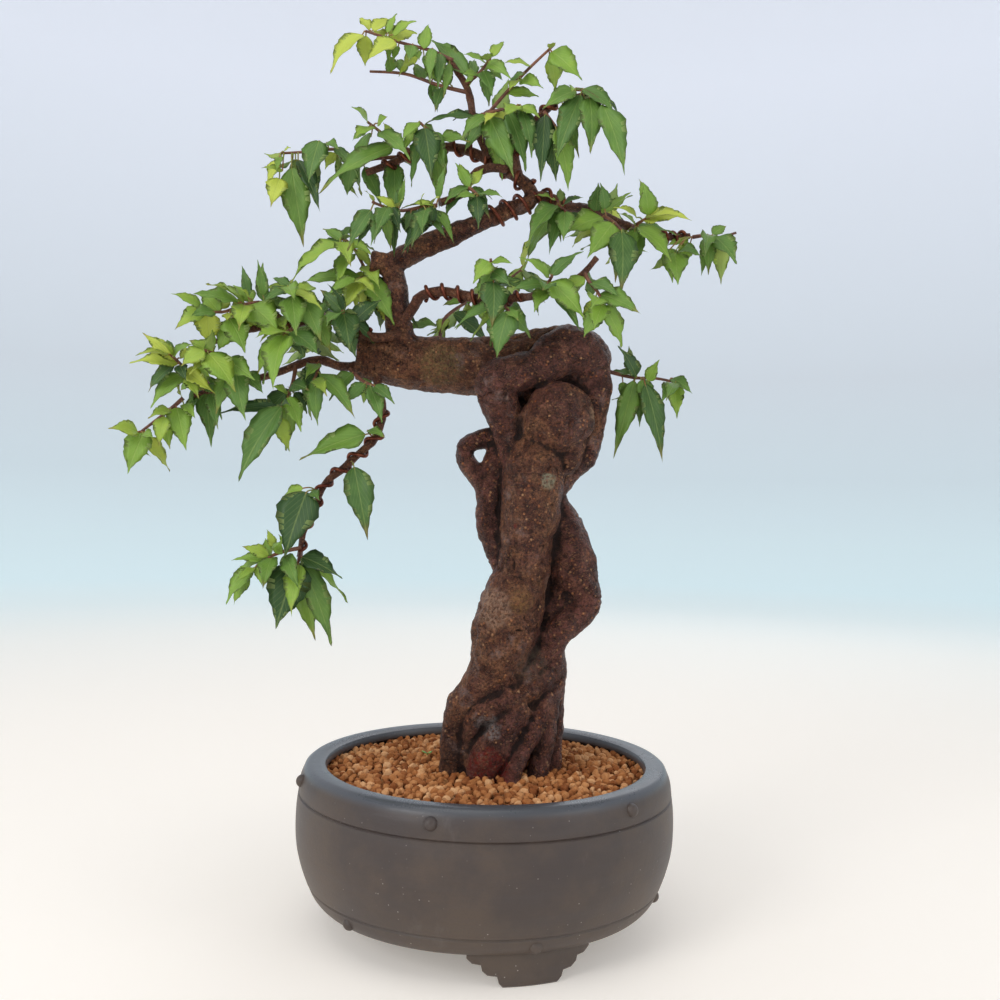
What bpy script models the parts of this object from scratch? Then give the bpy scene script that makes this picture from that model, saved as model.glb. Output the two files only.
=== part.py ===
import math
import random

import bmesh
import bpy
from mathutils import Quaternion, Vector
from mathutils.bvhtree import BVHTree

# A bonsai with a braided root trunk in a round turned pot. Sizes are millimetres until they
# reach Blender, which takes metres. While the tree is built, x and y are measured from the
# pot's axis, z from the table, and -y is the front. The last step moves the whole part so
# that its box stands centred on the origin.
MM = 0.001

# Pot
POT_HEIGHT = 106
POT_BELLY_R = 125
POT_WALL = 8
LIP_WIDTH = 14
FOOT_HEIGHT = 19
FOOT_WIDTH = 76
FOOT_DEPTH = 15
FOOT_COUNT = 3
FOOT_ANGLE = 16
STUD_R = 4.2
STUD_COUNT = 6
UPPER_STUD_ANGLE = -14
LOWER_STUD_ANGLE = 16
DRAIN_R = 13
TURN_STEPS = 36

# Soil and the mesh over the drain hole
SOIL_BELOW_RIM = 8.5
SOIL_MOUND = 5.5
MESH_SIDE = 46
MESH_THICKNESS = 1.2
MESH_HOLE = 8
MESH_PITCH = 11

# Wood, wire and leaves
DRAWN_POT_HEIGHT = 106
WOOD_VOXEL = 2.3
WOOD_TRIANGLES = 2600
WIRE_R = 1.25
WIRE_STEPS = 8
TWIG_R = 1.1
LEAF_THICKNESS = 0.9
LEAF_FOLD = 0.22
LEAF_TURN = 16

# Clearances
GAP = 0.35
ROOT_GAP = 0.8
LEAF_GAP = 1.2
CORNER_SHARE = 1.5

# Strands of the braided trunk, front ones first: x, y, z and radius
STRANDS = {
    "main": [(27, -10, 317, 14), (28, -15, 308, 19), (27, -18, 289, 20.5), (26, -18, 269, 19.5),
             (24, -17, 254, 18), (23, -16, 240, 17.5), (20, -16, 227, 18.5), (16, -17, 213, 21.5),
             (12, -17, 197, 22), (9, -17, 182, 21), (4, -18, 168, 17.5), (-4, -19, 158, 14),
             (-13, -19, 149, 11.5), (-20, -20, 137, 9.5), (-22, -21, 124, 8), (-22, -22, 110, 8),
             (-22, -22, 96, 7.5), (-22, -22, 84, 6.5)],
    "left_back": [(11, -3, 326, 7), (7, -3, 317, 7.5), (3, -5, 307, 8), (1, -6, 297, 8.6),
                  (-1, -6, 288, 8.5),
                  (-2, -6, 276, 8.3), (-2, -6, 264, 8.5), (2, -7, 252, 8.5), (8, -9, 240, 8),
                  (13, -11, 226, 8)],
    "left_loop": [(12, -4, 328, 8.5), (3, -3, 323, 7.4), (-8, -2, 320, 6.8), (-16, -2, 316, 6.7),
                  (-18, -3, 309, 6.8), (-13, -4, 300, 7), (-6, -5, 292, 7.4), (-1, -6, 284, 7.5)],
    "crown": [(66, -3, 366, 16), (60, -5, 375, 18.5), (50, -9, 378, 19.3), (40, -14, 374, 16),
              (29, -19, 367, 12.8), (18, -22, 363, 12), (9, -23, 360, 12.8), (2, -23, 358, 13.8),
              (3, -20, 347, 13.5), (8, -14, 335, 12.5), (12, -11, 323, 12), (15, -9, 310, 12),
              (17, -9, 296, 11)],
    "crown_right": [(58, -4, 378, 16), (65, -4, 367, 14), (67, -4, 354, 12), (66, -5, 342, 11.5),
                    (64.5, -5, 331, 10.5), (64, -5, 321, 9.5), (61, -5, 311, 9), (54, -6, 303, 8.5),
                    (47, -8, 295, 9), (40, -10, 286, 9)],
    "knob": [(20, -16, 334, 8), (26, -17, 333, 17), (34, -18, 333, 22.5), (43, -18, 333, 24.3),
             (51, -17, 333, 22.5), (58, -16, 332, 17), (63, -14, 331, 9)],
    "knob_tail": [(48, -15, 326, 16), (50, -15, 315, 11.5), (49, -14, 305, 8.5), (45, -12, 296, 7)],
    "right_bow": [(36, -4, 286, 10), (44, -3, 272, 12), (49, -3, 259, 14.5), (53, -4, 246, 16),
                  (56, -5, 234, 15.5), (61, -6, 223, 13), (65, -9, 213, 10.5), (60, -13, 205, 9.5),
                  (50, -15, 197, 10), (42, -13, 188, 10.5), (39, -9, 176, 11.5)],
    "right_column": [(39, -9, 180, 12), (41, -8, 168, 11), (42, -7, 156, 10), (43, -6, 144, 9),
                     (43, -6, 132, 9), (42, -7, 120, 9), (42, -8, 106, 9), (42, -8, 90, 8)],
    "shoulder": [(42, -8, 190, 10.5), (36, -11, 179, 11.5), (26, -15, 169, 11.5), (14, -18, 161, 10.5),
                 (2, -20, 155, 9)],
    "cross_root": [(42, -12, 172, 8.5), (36, -17, 162, 8.5), (25, -22, 155, 8.5), (13, -26, 149, 8.5),
                   (3, -28, 144, 8), (-6, -28, 138, 7), (-11, -26, 128, 5.5), (-13, -25, 116, 5),
                   (-14, -25, 104, 4.5), (-14, -25, 90, 4)],
    "front_bulge": [(24, -22, 146, 9), (17, -25, 138, 11), (11, -27, 128, 12.5), (5, -28, 118, 13),
                    (-1, -29, 108, 12), (-3, -29, 96, 10.5), (-4, -29, 85, 9)],
    "front_root": [(38, -14, 152, 7), (35, -19, 140, 6.5), (31, -25, 131, 6), (26, -31, 121, 6),
                   (21, -36, 112, 5.8), (16, -40, 102, 5.4), (12, -43, 92, 5)],
    "inner_root": [(30, -16, 150, 6), (27, -20, 140, 6), (24, -23, 130, 6), (19, -27, 119, 5.5),
                   (15, -31, 108, 5), (12, -33, 95, 5)],
    "right_root": [(40, -12, 150, 8), (39, -15, 138, 8), (38, -19, 126, 8), (36, -22, 115, 7.5),
                   (34, -24, 104, 7), (33, -25, 90, 6)],
    "core": [(58, 1, 356, 12), (44, 1, 354, 15), (30, 0, 346, 15), (22, -2, 332, 13.5), (20, -4, 320, 12),
             (24, 0, 302, 13), (26, 1, 272, 13), (30, 1, 244, 13), (28, 0, 216, 14),
             (24, -1, 190, 15), (20, -3, 165, 17), (13, -4, 140, 18), (9, -5, 115, 18), (9, -5, 85, 17)],
    "bow_back": [(50, 2, 244, 11), (52, 1, 230, 12), (50, -1, 216, 12), (45, -3, 202, 12),
                 (41, -6, 188, 11)],
    "back_left": [(20, 8, 318, 10), (32, 12, 296, 10), (40, 11, 270, 9.5), (34, 13, 246, 9),
                  (20, 13, 226, 10), (10, 9, 205, 11), (10, 10, 180, 11), (20, 13, 156, 11),
                  (30, 13, 132, 10), (35, 15, 108, 9), (37, 16, 86, 8)],
    "back_right": [(38, 4, 326, 11), (24, 11, 304, 10), (12, 11, 280, 9.5), (14, 12, 256, 9),
                   (28, 13, 232, 9.5), (40, 9, 208, 9.5), (38, 8, 184, 10), (26, 12, 162, 10),
                   (8, 12, 140, 10), (-4, 12, 118, 9.5), (-9, 13, 96, 9), (-11, 13, 85, 8)],
    "limb": [(-92, 1, 374, 15), (-80, 2, 373, 16), (-60, 3, 371, 17.5), (-36, 4, 370, 19),
             (-10, 6, 370, 19.5), (10, 8, 372, 19), (28, 8, 378, 18), (45, 5, 381, 17), (58, 0, 380, 16)],
    "stem": [(-60, 2, 372, 13), (-63, 1, 384, 11), (-65, 0, 396, 9), (-65, -2, 410, 8), (-67, -3, 424, 7.6),
             (-70, -3, 435, 7.8), (-62, -3, 441, 7.8), (-48, -3, 448, 7.6), (-35, -3, 454, 7.2),
             (-20, -2, 461, 6.6), (-5, -2, 468, 6.2), (10, -1, 475, 5.8), (21, 0, 480, 5.4),
             (23, 0, 485, 5),
             (20, 0, 491, 4.7), (12, 0, 497, 4.5), (3, 0, 504, 4.2), (-4, 0, 509, 3.8)],
    "stub": [(-66, -3, 436, 7.6), (-74, -3, 436, 7.6), (-83, -3, 437, 7.2)],
}

# Branches, from the trunk outwards: x, y, z and radius
BRANCHES = {
    "upper_left_branch": [(-3, 0, 506, 3.4), (-18, 3, 514, 3.2), (-36, 6, 518, 3), (-59, 9, 513, 2.7),
                          (-75, 12, 507, 2.5), (-90, 14, 502, 2.4)],
    "apex_branch": [(-6, -2, 508, 2.9), (-16, -6, 531, 2.6), (-19, -8, 545, 2.4), (-22, -9, 554, 2.3),
                    (-29, -11, 564, 2), (-32, -12, 568, 1.8)],
    "upper_right_branch": [(14, -2, 497, 3), (11, -10, 513, 2.8), (16, -14, 522, 2.6), (30, -18, 534, 2.4),
                           (40, -20, 543, 2.2), (50, -22, 543, 2), (61, -24, 545, 1.6)],
    "right_branch": [(22, 0, 481, 3.8), (32, 3, 485, 3.6), (48, 8, 480, 3.3), (64, 15, 480, 3),
                     (89, 20, 471, 2.7), (116, 26, 465, 2.4), (135, 30, 467, 2.1)],
    "middle_left_branch": [(6, -4, 501, 3), (-6, -8, 500, 3), (-16, -10, 494, 2.8), (-23, -14, 481, 2.6),
                           (-37, -20, 473, 2.4)],
    "lower_right_branch": [(-62, -4, 395, 3.6), (-54, -10, 406, 3.4), (-48, -15, 413, 3.2),
                           (-33, -20, 415, 3.1),
                           (-10, -24, 410, 2.9), (10, -27, 410, 2.7), (32, -30, 413, 2.4),
                           (53, -32, 423, 2.1), (65, -34, 436, 1.7)],
    "left_lower_branch": [(-63, -6, 388, 3.4), (-79, -14, 385, 3.1), (-90, -18, 389, 3),
                          (-112, -22, 395, 2.7),
                          (-132, -26, 390, 2.4), (-157, -30, 386, 2), (-185, -32, 375, 1.6)],
    "left_end_branch": [(-84, 0, 368, 3.4), (-101, -10, 366, 3), (-118, -16, 369, 2.7),
                        (-146, -20, 358, 2.3),
                        (-171, -24, 351, 1.9), (-193, -28, 343, 1.6)],
    "cascade_branch": [(-78, -4, 362, 3), (-76, -9, 350, 2.9), (-73, -12, 340, 2.8), (-74, -14, 327, 2.7),
                       (-78, -16, 317, 2.6), (-88, -18, 307, 2.5), (-98, -20, 297, 2.4),
                       (-108, -22, 288, 2.2),
                       (-115, -24, 271, 2), (-121, -25, 256, 1.9), (-123, -26, 240, 1.8)],
}

# Leaves that grow straight from the hanging branch: root, tip and width
CASCADE_LEAVES = [
    ((-80, -26, 321), (-123, -36, 302), 19),
    ((-81, -28, 323), (-68, -34, 318), 9),
    ((-89, -29, 301), (-78, -35, 252), 19),
    ((-117, -36, 284), (-129, -46, 240), 27),
    ((-119, -36, 285), (-138, -34, 273), 11),
    ((-115, -33, 283), (-108, -43, 277), 8),
]

# Leafy shoots: the wood each one grows on, its twig, and each leaf's root, tip and width
SHOOTS = {
    "apex_tip_shoot": {
        "on": "apex_branch",
        "twig": [(-31, -13, 569), (-38, -13, 572), (-46, -14, 575), (-66, -16, 579), (-88, -18, 585)],
        "leaves": [
            ((-89, -20, 583), (-110, -26, 554), 20), ((-68, -19, 579), (-86, -27, 562), 15),
            ((-74, -16, 582), (-55, -6, 590), 15), ((-84, -18, 585), (-73, -4, 600), 10),
            ((-44, -17, 576), (-45, -23, 549), 9), ((-39, -14, 574), (-40, -24, 546), 9),
            ((-50, -17, 574), (-48, -9, 595), 10), ((-57, -20, 576), (-59, -26, 562), 10),
        ],
    },
    "apex_inner_shoot": {
        "on": "apex_branch",
        "twig": [(-23, -9, 555), (-14, -16, 559), (-6, -22, 567)],
        "leaves": [
            ((-8, -21, 564), (-24, -29, 567), 11), ((-8, -22, 565), (8, -32, 550), 11),
            ((-14, -17, 559), (-24, -23, 556), 9), ((-11, -18, 561), (-4, -26, 541), 12),
            ((-19, -12, 557), (-47, 4, 590), 12),
        ],
    },
    "green_twig_shoot": {
        "on": "apex_branch",
        "twig": [(-21, -8, 550), (-40, -6, 555), (-63, -4, 563), (-87, -2, 565)],
        "leaves": [
            ((-38, -7, 554), (-42, -15, 534), 9), ((-46, -6, 557), (-41, 0, 539), 9),
            ((-72, -4, 564), (-75, -12, 574), 11), ((-64, -4, 563), (-70, 2, 577), 9),
            ((-50, -6, 558), (-58, 4, 574), 10),
        ],
    },
    "top_right_shoot": {
        "on": "apex_branch",
        "twig": [(-14, -7, 527), (-1, -12, 542), (17, -16, 561), (35, -18, 578)],
        "leaves": [
            ((21, -18, 564), (2, -26, 563), 12), ((33, -20, 574), (54, -26, 552), 18),
            ((14, -17, 556), (29, -27, 546), 12), ((17, -16, 560), (5, -4, 555), 9),
            ((4, -14, 547), (27, -6, 549), 9),
        ],
    },
    "upper_centre_shoot": {
        "on": "apex_branch",
        "twig": [(-16, -8, 533), (-8, -16, 533), (1, -24, 533), (14, -30, 534)],
        "leaves": [
            ((-8, -18, 532), (-24, -30, 511), 13), ((-14, -12, 532), (-50, -6, 530), 11),
            ((-7, -20, 532), (11, -30, 487), 19), ((5, -27, 533), (19, -25, 493), 14),
            ((12, -32, 533), (4, -46, 521), 13), ((14, -31, 533), (27, -39, 524), 13),
            ((-2, -22, 532), (-9, -34, 520), 8), ((11, -28, 534), (26, -20, 507), 12),
        ],
    },
    "upper_right_shoot": {
        "on": "upper_right_branch",
        "twig": [(40, -23, 542), (50, -30, 545), (60, -36, 539), (67, -38, 533)],
        "leaves": [
            ((50, -31, 544), (28, -39, 529), 13), ((53, -33, 545), (75, -39, 526), 15),
            ((53, -33, 542), (37, -43, 495), 17), ((58, -35, 539), (59, -41, 499), 17),
            ((66, -38, 534), (80, -44, 482), 17), ((60, -33, 542), (80, -19, 532), 11),
        ],
    },
    "upper_right_hanging_shoot": {
        "on": "upper_right_branch",
        "twig": [(30, -21, 533), (33, -27, 527), (37, -30, 521)],
        "leaves": [
            ((30, -26, 531), (28, -32, 484), 14), ((34, -29, 525), (39, -37, 487), 15),
            ((32, -26, 528), (21, -38, 503), 12), ((37, -31, 520), (47, -45, 478), 15),
        ],
    },
    "left_wired_inner_shoot": {
        "on": "upper_left_branch",
        "twig": [(-36, 2, 517), (-40, -4, 521), (-48, -10, 525), (-52, -12, 528)],
        "leaves": [
            ((-49, -12, 526), (-43, -18, 488), 18), ((-45, -9, 524), (-34, -17, 494), 13),
            ((-52, -14, 528), (-63, -20, 513), 10), ((-40, -5, 520), (-18, -15, 515), 12),
            ((-42, -4, 521), (-39, 2, 475), 14), ((-47, -10, 525), (-59, -2, 489), 12),
        ],
    },
    "left_wired_twig_shoot": {
        "on": "upper_left_branch",
        "twig": [(-58, 6, 514), (-70, 3, 518), (-79, 0, 525), (-88, -3, 531)],
        "leaves": [
            ((-69, 1, 517), (-119, -13, 480), 20), ((-87, -4, 530), (-97, -14, 537), 17),
            ((-85, -3, 528), (-94, -15, 516), 14), ((-63, 4, 516), (-60, -4, 522), 9),
        ],
    },
    "left_tip_shoot": {
        "on": "upper_left_branch",
        "twig": [(-69, 14, 513), (-83, 17, 513), (-97, 19, 512), (-111, 19, 519), (-125, 20, 518),
                 (-137, 20, 517), (-150, 20, 516)],
        "leaves": [
            ((-122, 10, 523), (-128, 4, 491), 18), ((-113, 15, 520), (-94, 5, 496), 9),
            ((-118, 13, 522), (-107, 3, 514), 8), ((-138, 16, 512), (-120, 8, 473), 12),
            ((-142, 15, 507), (-133, 7, 450), 21), ((-149, 12, 497), (-152, 4, 473), 15),
            ((-147, 14, 502), (-160, 4, 501), 8), ((-141, 18, 511), (-158, 28, 511), 13),
            ((-140, 19, 513), (-135, 33, 488), 12),
        ],
    },
    "middle_left_tip_shoot": {
        "on": "middle_left_branch",
        "twig": [(-39, -24, 470), (-47, -28, 468), (-63, -32, 464), (-79, -40, 467)],
        "leaves": [
            ((-39, -32, 468), (-60, -38, 435), 14), ((-42, -35, 465), (-53, -47, 435), 15),
            ((-45, -38, 464), (-45, -46, 440), 12), ((-40, -31, 468), (-62, -27, 467), 9),
            ((-44, -36, 464), (-29, -42, 450), 10), ((-64, -34, 464), (-78, -40, 471), 9),
            ((-67, -37, 465), (-60, -45, 447), 9), ((-69, -38, 465), (-74, -44, 439), 12),
            ((-71, -39, 466), (-68, -31, 439), 8), ((-66, -35, 465), (-67, -25, 436), 7),
            ((-63, -32, 464), (-61, -24, 485), 6),
        ],
    },
    "middle_left_base_shoot": {
        "on": "middle_left_branch",
        "twig": [(-21, -15, 486), (-16, -22, 481), (-12, -28, 476)],
        "leaves": [
            ((-19, -18, 485), (-34, -26, 471), 11), ((-16, -23, 481), (-4, -29, 461), 10),
            ((-13, -27, 477), (4, -35, 472), 9), ((-18, -20, 483), (-28, -16, 501), 9),
            ((-13, -28, 476), (-11, -32, 449), 11),
        ],
    },
    "right_inner_shoot": {
        "on": "right_branch",
        "twig": [(40, 5, 483), (42, -4, 477), (46, -12, 471)],
        "leaves": [
            ((43, -6, 475), (35, -14, 442), 12), ((45, -11, 472), (44, -19, 450), 14),
            ((41, -2, 479), (19, -14, 441), 16), ((43, -6, 476), (57, -16, 480), 9),
            ((40, 1, 482), (25, -7, 483), 9),
        ],
    },
    "right_middle_shoot": {
        "on": "right_branch",
        "twig": [(64, 12, 479), (72, 4, 473), (78, -4, 467), (83, -10, 460)],
        "leaves": [
            ((72, 2, 472), (46, -6, 458), 20), ((78, -6, 466), (60, -20, 439), 20),
            ((67, 8, 476), (68, 2, 495), 13), ((81, -9, 462), (80, -11, 425), 14),
            ((83, -10, 460), (81, -20, 412), 20), ((75, 0, 470), (79, 4, 441), 12),
            ((70, 6, 474), (93, 0, 488), 11),
        ],
    },
    "right_outer_shoot": {
        "on": "right_branch",
        "twig": [(93, 18, 469), (97, 8, 470), (103, -2, 472)],
        "leaves": [
            ((95, 12, 469), (81, 2, 475), 10), ((98, 4, 470), (125, -8, 471), 15),
            ((100, 1, 471), (126, -15, 461), 13), ((95, 12, 469), (119, 2, 442), 18),
            ((97, 12, 470), (91, 18, 434), 14), ((102, -4, 471), (97, -10, 492), 13),
            ((94, 16, 469), (125, 20, 465), 10),
        ],
    },
    "right_tip_shoot": {
        "on": "right_branch",
        "twig": [(137, 29, 466), (145, 28, 467), (155, 24, 465), (166, 22, 468)],
        "leaves": [
            ((120, 18, 456), (121, 12, 430), 13), ((122, 12, 452), (123, 2, 427), 17),
            ((123, 12, 451), (135, 2, 440), 10), ((120, 17, 455), (108, 9, 440), 11),
            ((147, 26, 467), (147, 20, 438), 12), ((151, 24, 466), (164, 12, 443), 20),
            ((156, 20, 462), (159, 16, 432), 13), ((147, 26, 468), (140, 14, 444), 11),
            ((150, 26, 467), (161, 30, 475), 9),
        ],
    },
    "lower_right_inner_shoot": {
        "on": "lower_right_branch",
        "twig": [(0, -29, 410), (-2, -33, 423), (-3, -38, 433)],
        "leaves": [
            ((-3, -37, 432), (-14, -43, 416), 13), ((-3, -37, 431), (11, -45, 429), 9),
            ((-2, -35, 426), (10, -43, 415), 11), ((-1, -36, 420), (-1, -46, 388), 19),
            ((-1, -32, 417), (15, -26, 423), 9), ((-2, -34, 425), (-11, -30, 408), 10),
        ],
    },
    "lower_right_front_shoot": {
        "on": "lower_right_branch",
        "twig": [(5, -30, 408), (7, -37, 403), (10, -43, 398)],
        "leaves": [
            ((9, -42, 400), (2, -52, 368), 21), ((6, -33, 406), (-26, -37, 389), 11),
            ((8, -38, 402), (-16, -36, 381), 10), ((7, -38, 402), (24, -36, 383), 15),
            ((9, -40, 400), (-3, -36, 378), 10),
        ],
    },
    "lower_right_middle_shoot": {
        "on": "lower_right_branch",
        "twig": [(32, -33, 414), (34, -40, 418), (36, -46, 421)],
        "leaves": [
            ((35, -44, 420), (15, -50, 432), 14), ((34, -40, 417), (10, -48, 411), 14),
            ((34, -42, 419), (57, -50, 394), 18), ((33, -37, 415), (25, -47, 398), 12),
            ((35, -45, 421), (56, -41, 439), 12), ((33, -38, 416), (56, -40, 387), 9),
            ((33, -36, 415), (50, -30, 402), 9),
        ],
    },
    "lower_right_tip_shoot": {
        "on": "lower_right_branch",
        "twig": [(57, -35, 426), (60, -40, 419), (65, -44, 412), (68, -48, 404)],
        "leaves": [
            ((65, -44, 411), (92, -50, 398), 15), ((68, -48, 404), (62, -56, 386), 14),
            ((66, -46, 408), (59, -56, 395), 16), ((68, -48, 404), (82, -54, 376), 15),
            ((60, -40, 419), (78, -44, 407), 12), ((58, -37, 423), (41, -45, 409), 11),
            ((59, -39, 421), (63, -31, 411), 10),
        ],
    },
    "left_upper_shoot": {
        "on": "trunk",
        "twig": [(-72, 2, 410), (-83, 2, 421), (-89, 4, 435), (-98, 6, 450), (-105, 4, 454)],
        "leaves": [
            ((-103, -6, 450), (-137, -16, 418), 18), ((-102, 0, 451), (-131, 10, 443), 11),
            ((-104, -7, 450), (-94, -19, 429), 13), ((-101, -1, 451), (-81, -9, 440), 11),
            ((-103, -3, 451), (-118, 5, 461), 9), ((-88, -10, 425), (-99, -18, 401), 19),
            ((-91, -12, 424), (-111, -8, 406), 10), ((-88, -6, 427), (-66, -18, 393), 17),
            ((-87, -2, 428), (-51, -16, 393), 15), ((-89, -3, 427), (-133, 11, 425), 12),
            ((-92, -13, 423), (-75, -19, 407), 10),
        ],
    },
    "left_inner_lower_shoot": {
        "on": "left_lower_branch",
        "twig": [(-90, -21, 389), (-93, -27, 394), (-98, -32, 399)],
        "leaves": [
            ((-97, -32, 399), (-91, -40, 372), 18), ((-92, -26, 392), (-74, -20, 409), 14),
            ((-96, -29, 397), (-114, -23, 414), 11), ((-93, -28, 394), (-78, -36, 377), 13),
            ((-97, -31, 398), (-103, -43, 382), 12),
        ],
    },
    "left_shoulder_shoot": {
        "on": "left_lower_branch",
        "twig": [(-113, -25, 394), (-119, -30, 402), (-125, -34, 408), (-132, -37, 413)],
        "leaves": [
            ((-123, -35, 407), (-109, -41, 377), 18), ((-131, -37, 412), (-146, -45, 401), 14),
            ((-127, -34, 410), (-150, -26, 414), 12), ((-132, -38, 413), (-122, -48, 397), 13),
            ((-120, -31, 403), (-130, -43, 389), 14), ((-131, -36, 413), (-143, -32, 419), 8),
        ],
    },
    "left_top_shoot": {
        "on": "left_lower_branch",
        "twig": [(-132, -29, 390), (-141, -34, 397), (-148, -38, 402), (-158, -42, 400),
                 (-171, -47, 394), (-183, -50, 395)],
        "leaves": [
            ((-156, -41, 401), (-134, -49, 381), 24), ((-148, -37, 403), (-124, -43, 394), 16),
            ((-154, -38, 402), (-168, -34, 414), 13), ((-159, -40, 401), (-175, -44, 405), 14),
            ((-157, -41, 401), (-167, -51, 393), 12), ((-147, -36, 402), (-150, -30, 430), 9),
            ((-158, -42, 400), (-154, -52, 377), 15), ((-180, -50, 395), (-198, -56, 381), 14),
            ((-172, -47, 393), (-186, -43, 408), 12), ((-179, -51, 394), (-179, -59, 371), 16),
            ((-163, -44, 388), (-174, -54, 369), 18), ((-181, -50, 395), (-198, -44, 400), 10),
            ((-167, -46, 391), (-154, -54, 368), 18), ((-175, -49, 394), (-186, -59, 388), 11),
        ],
    },
    "left_heart_shoot": {
        "on": "left_lower_branch",
        "twig": [(-128, -30, 388), (-129, -40, 385), (-132, -48, 381)],
        "leaves": [
            ((-129, -42, 384), (-110, -52, 368), 21), ((-131, -47, 382), (-139, -53, 364), 17),
            ((-128, -36, 386), (-121, -34, 368), 15), ((-131, -50, 381), (-132, -56, 341), 20),
            ((-130, -45, 383), (-144, -53, 372), 14),
        ],
    },
    "left_front_shoot": {
        "on": "left_end_branch",
        "twig": [(-160, -26, 354), (-166, -36, 362), (-173, -46, 367), (-180, -54, 369)],
        "leaves": [
            ((-178, -53, 368), (-158, -59, 343), 20), ((-164, -38, 360), (-155, -46, 326), 17),
            ((-169, -42, 365), (-148, -52, 351), 15), ((-175, -49, 367), (-191, -45, 375), 13),
            ((-179, -55, 369), (-192, -61, 358), 14), ((-162, -33, 358), (-146, -41, 344), 14),
        ],
    },
    "left_outer_shoot": {
        "on": "left_end_branch",
        "twig": [(-191, -30, 346), (-194, -38, 354), (-196, -44, 360), (-202, -48, 366)],
        "leaves": [
            ((-195, -45, 358), (-173, -51, 342), 11), ((-197, -46, 361), (-228, -50, 361), 15),
            ((-199, -47, 363), (-221, -43, 380), 10), ((-201, -48, 365), (-223, -40, 370), 12),
            ((-195, -40, 356), (-215, -48, 333), 15), ((-199, -45, 362), (-217, -39, 342), 13),
            ((-201, -49, 366), (-185, -55, 373), 12),
        ],
    },
    "left_hanging_shoot": {
        "on": "left_end_branch",
        "twig": [(-182, -27, 348), (-188, -20, 354), (-193, -14, 360)],
        "leaves": [
            ((-190, -17, 356), (-183, -21, 310), 17), ((-186, -22, 353), (-200, -24, 319), 12),
            ((-193, -14, 359), (-180, -6, 329), 13), ((-192, -16, 358), (-209, -8, 347), 12),
        ],
    },
    "left_end_tip_shoot": {
        "on": "left_end_branch",
        "twig": [(-199, -31, 341), (-207, -33, 333), (-215, -35, 326), (-224, -38, 318)],
        "leaves": [
            ((-203, -33, 336), (-194, -39, 307), 16), ((-208, -40, 329), (-210, -44, 309), 11),
            ((-205, -36, 333), (-216, -44, 326), 10), ((-221, -37, 320), (-229, -45, 291), 17),
            ((-223, -38, 319), (-239, -32, 294), 13), ((-224, -39, 318), (-238, -43, 318), 13),
        ],
    },
    "left_bottom_shoot": {
        "on": "left_end_branch",
        "twig": [(-129, -21, 364), (-130, -26, 352), (-134, -30, 341), (-138, -33, 333)],
        "leaves": [
            ((-134, -33, 339), (-160, -43, 288), 19), ((-132, -31, 344), (-121, -39, 320), 13),
            ((-136, -31, 336), (-178, -27, 332), 10), ((-131, -27, 349), (-149, -23, 328), 14),
            ((-130, -29, 352), (-117, -37, 347), 14), ((-132, -29, 346), (-141, -37, 349), 9),
        ],
    },
    "limb_end_shoot": {
        "on": "left_end_branch",
        "twig": [(-114, -18, 368), (-114, -26, 360), (-115, -33, 354)],
        "leaves": [
            ((-114, -31, 357), (-112, -37, 324), 12), ((-113, -28, 360), (-87, -36, 330), 14),
            ((-114, -33, 355), (-103, -41, 341), 10), ((-113, -24, 363), (-126, -34, 346), 14),
        ],
    },
    "limb_under_shoot": {
        "on": "left_end_branch",
        "twig": [(-95, -12, 364), (-86, -20, 356), (-77, -26, 352)],
        "leaves": [
            ((-92, -16, 362), (-107, -22, 342), 12), ((-83, -24, 354), (-96, -30, 338), 10),
            ((-80, -26, 352), (-70, -36, 327), 12), ((-77, -28, 352), (-62, -36, 339), 10),
        ],
    },
    "cascade_tip_shoot": {
        "on": "cascade_branch",
        "twig": [(-122, -29, 243), (-122, -34, 239), (-122, -38, 235)],
        "leaves": [
            ((-122, -36, 239), (-134, -44, 195), 28), ((-122, -32, 240), (-100, -30, 183), 17),
            ((-122, -32, 241), (-93, -38, 227), 17), ((-121, -38, 237), (-122, -32, 202), 14),
            ((-121, -33, 238), (-94, -23, 206), 9),
        ],
    },
    "cascade_young_shoot": {
        "on": "cascade_branch",
        "twig": [(-122, -29, 246), (-131, -36, 244), (-140, -42, 240), (-149, -46, 232)],
        "leaves": [
            ((-139, -42, 241), (-156, -46, 247), 9), ((-141, -43, 239), (-164, -49, 237), 8),
            ((-143, -44, 237), (-162, -46, 228), 8), ((-148, -46, 234), (-164, -52, 211), 14),
            ((-140, -41, 240), (-144, -37, 252), 7), ((-144, -45, 236), (-141, -53, 223), 8),
            ((-135, -40, 242), (-131, -44, 252), 8), ((-138, -40, 241), (-138, -48, 220), 12),
        ],
    },
    "right_low_shoot": {
        "on": "trunk",
        "twig": [(79, 14, 369), (88, 16, 367), (98, 14, 365), (111, 14, 365), (125, 10, 362)],
        "leaves": [
            ((97, 12, 365), (82, 4, 309), 15), ((102, 4, 362), (115, -2, 307), 15),
            ((100, 8, 364), (107, 10, 342), 12), ((104, 2, 361), (111, -2, 376), 10),
            ((98, 12, 365), (84, 6, 386), 12), ((98, 10, 365), (81, 2, 367), 11),
            ((123, 12, 363), (125, 6, 337), 12), ((122, 15, 366), (134, 9, 353), 10),
            ((124, 9, 362), (114, 1, 345), 10),
        ],
    },
    "back_shoot": {
        "on": "trunk",
        "twig": [(-38, 22, 391), (-35, 38, 408), (-19, 58, 424), (3, 78, 440), (18, 92, 454)],
        "leaves": [
            ((-35, 40, 410), (-54, 62, 384), 17), ((-31, 44, 413), (-4, 56, 392), 16),
            ((-24, 53, 420), (-48, 78, 404), 17), ((-18, 60, 425), (6, 66, 398), 15),
            ((-12, 66, 430), (-32, 98, 418), 18), ((-5, 72, 435), (24, 82, 414), 16),
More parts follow.
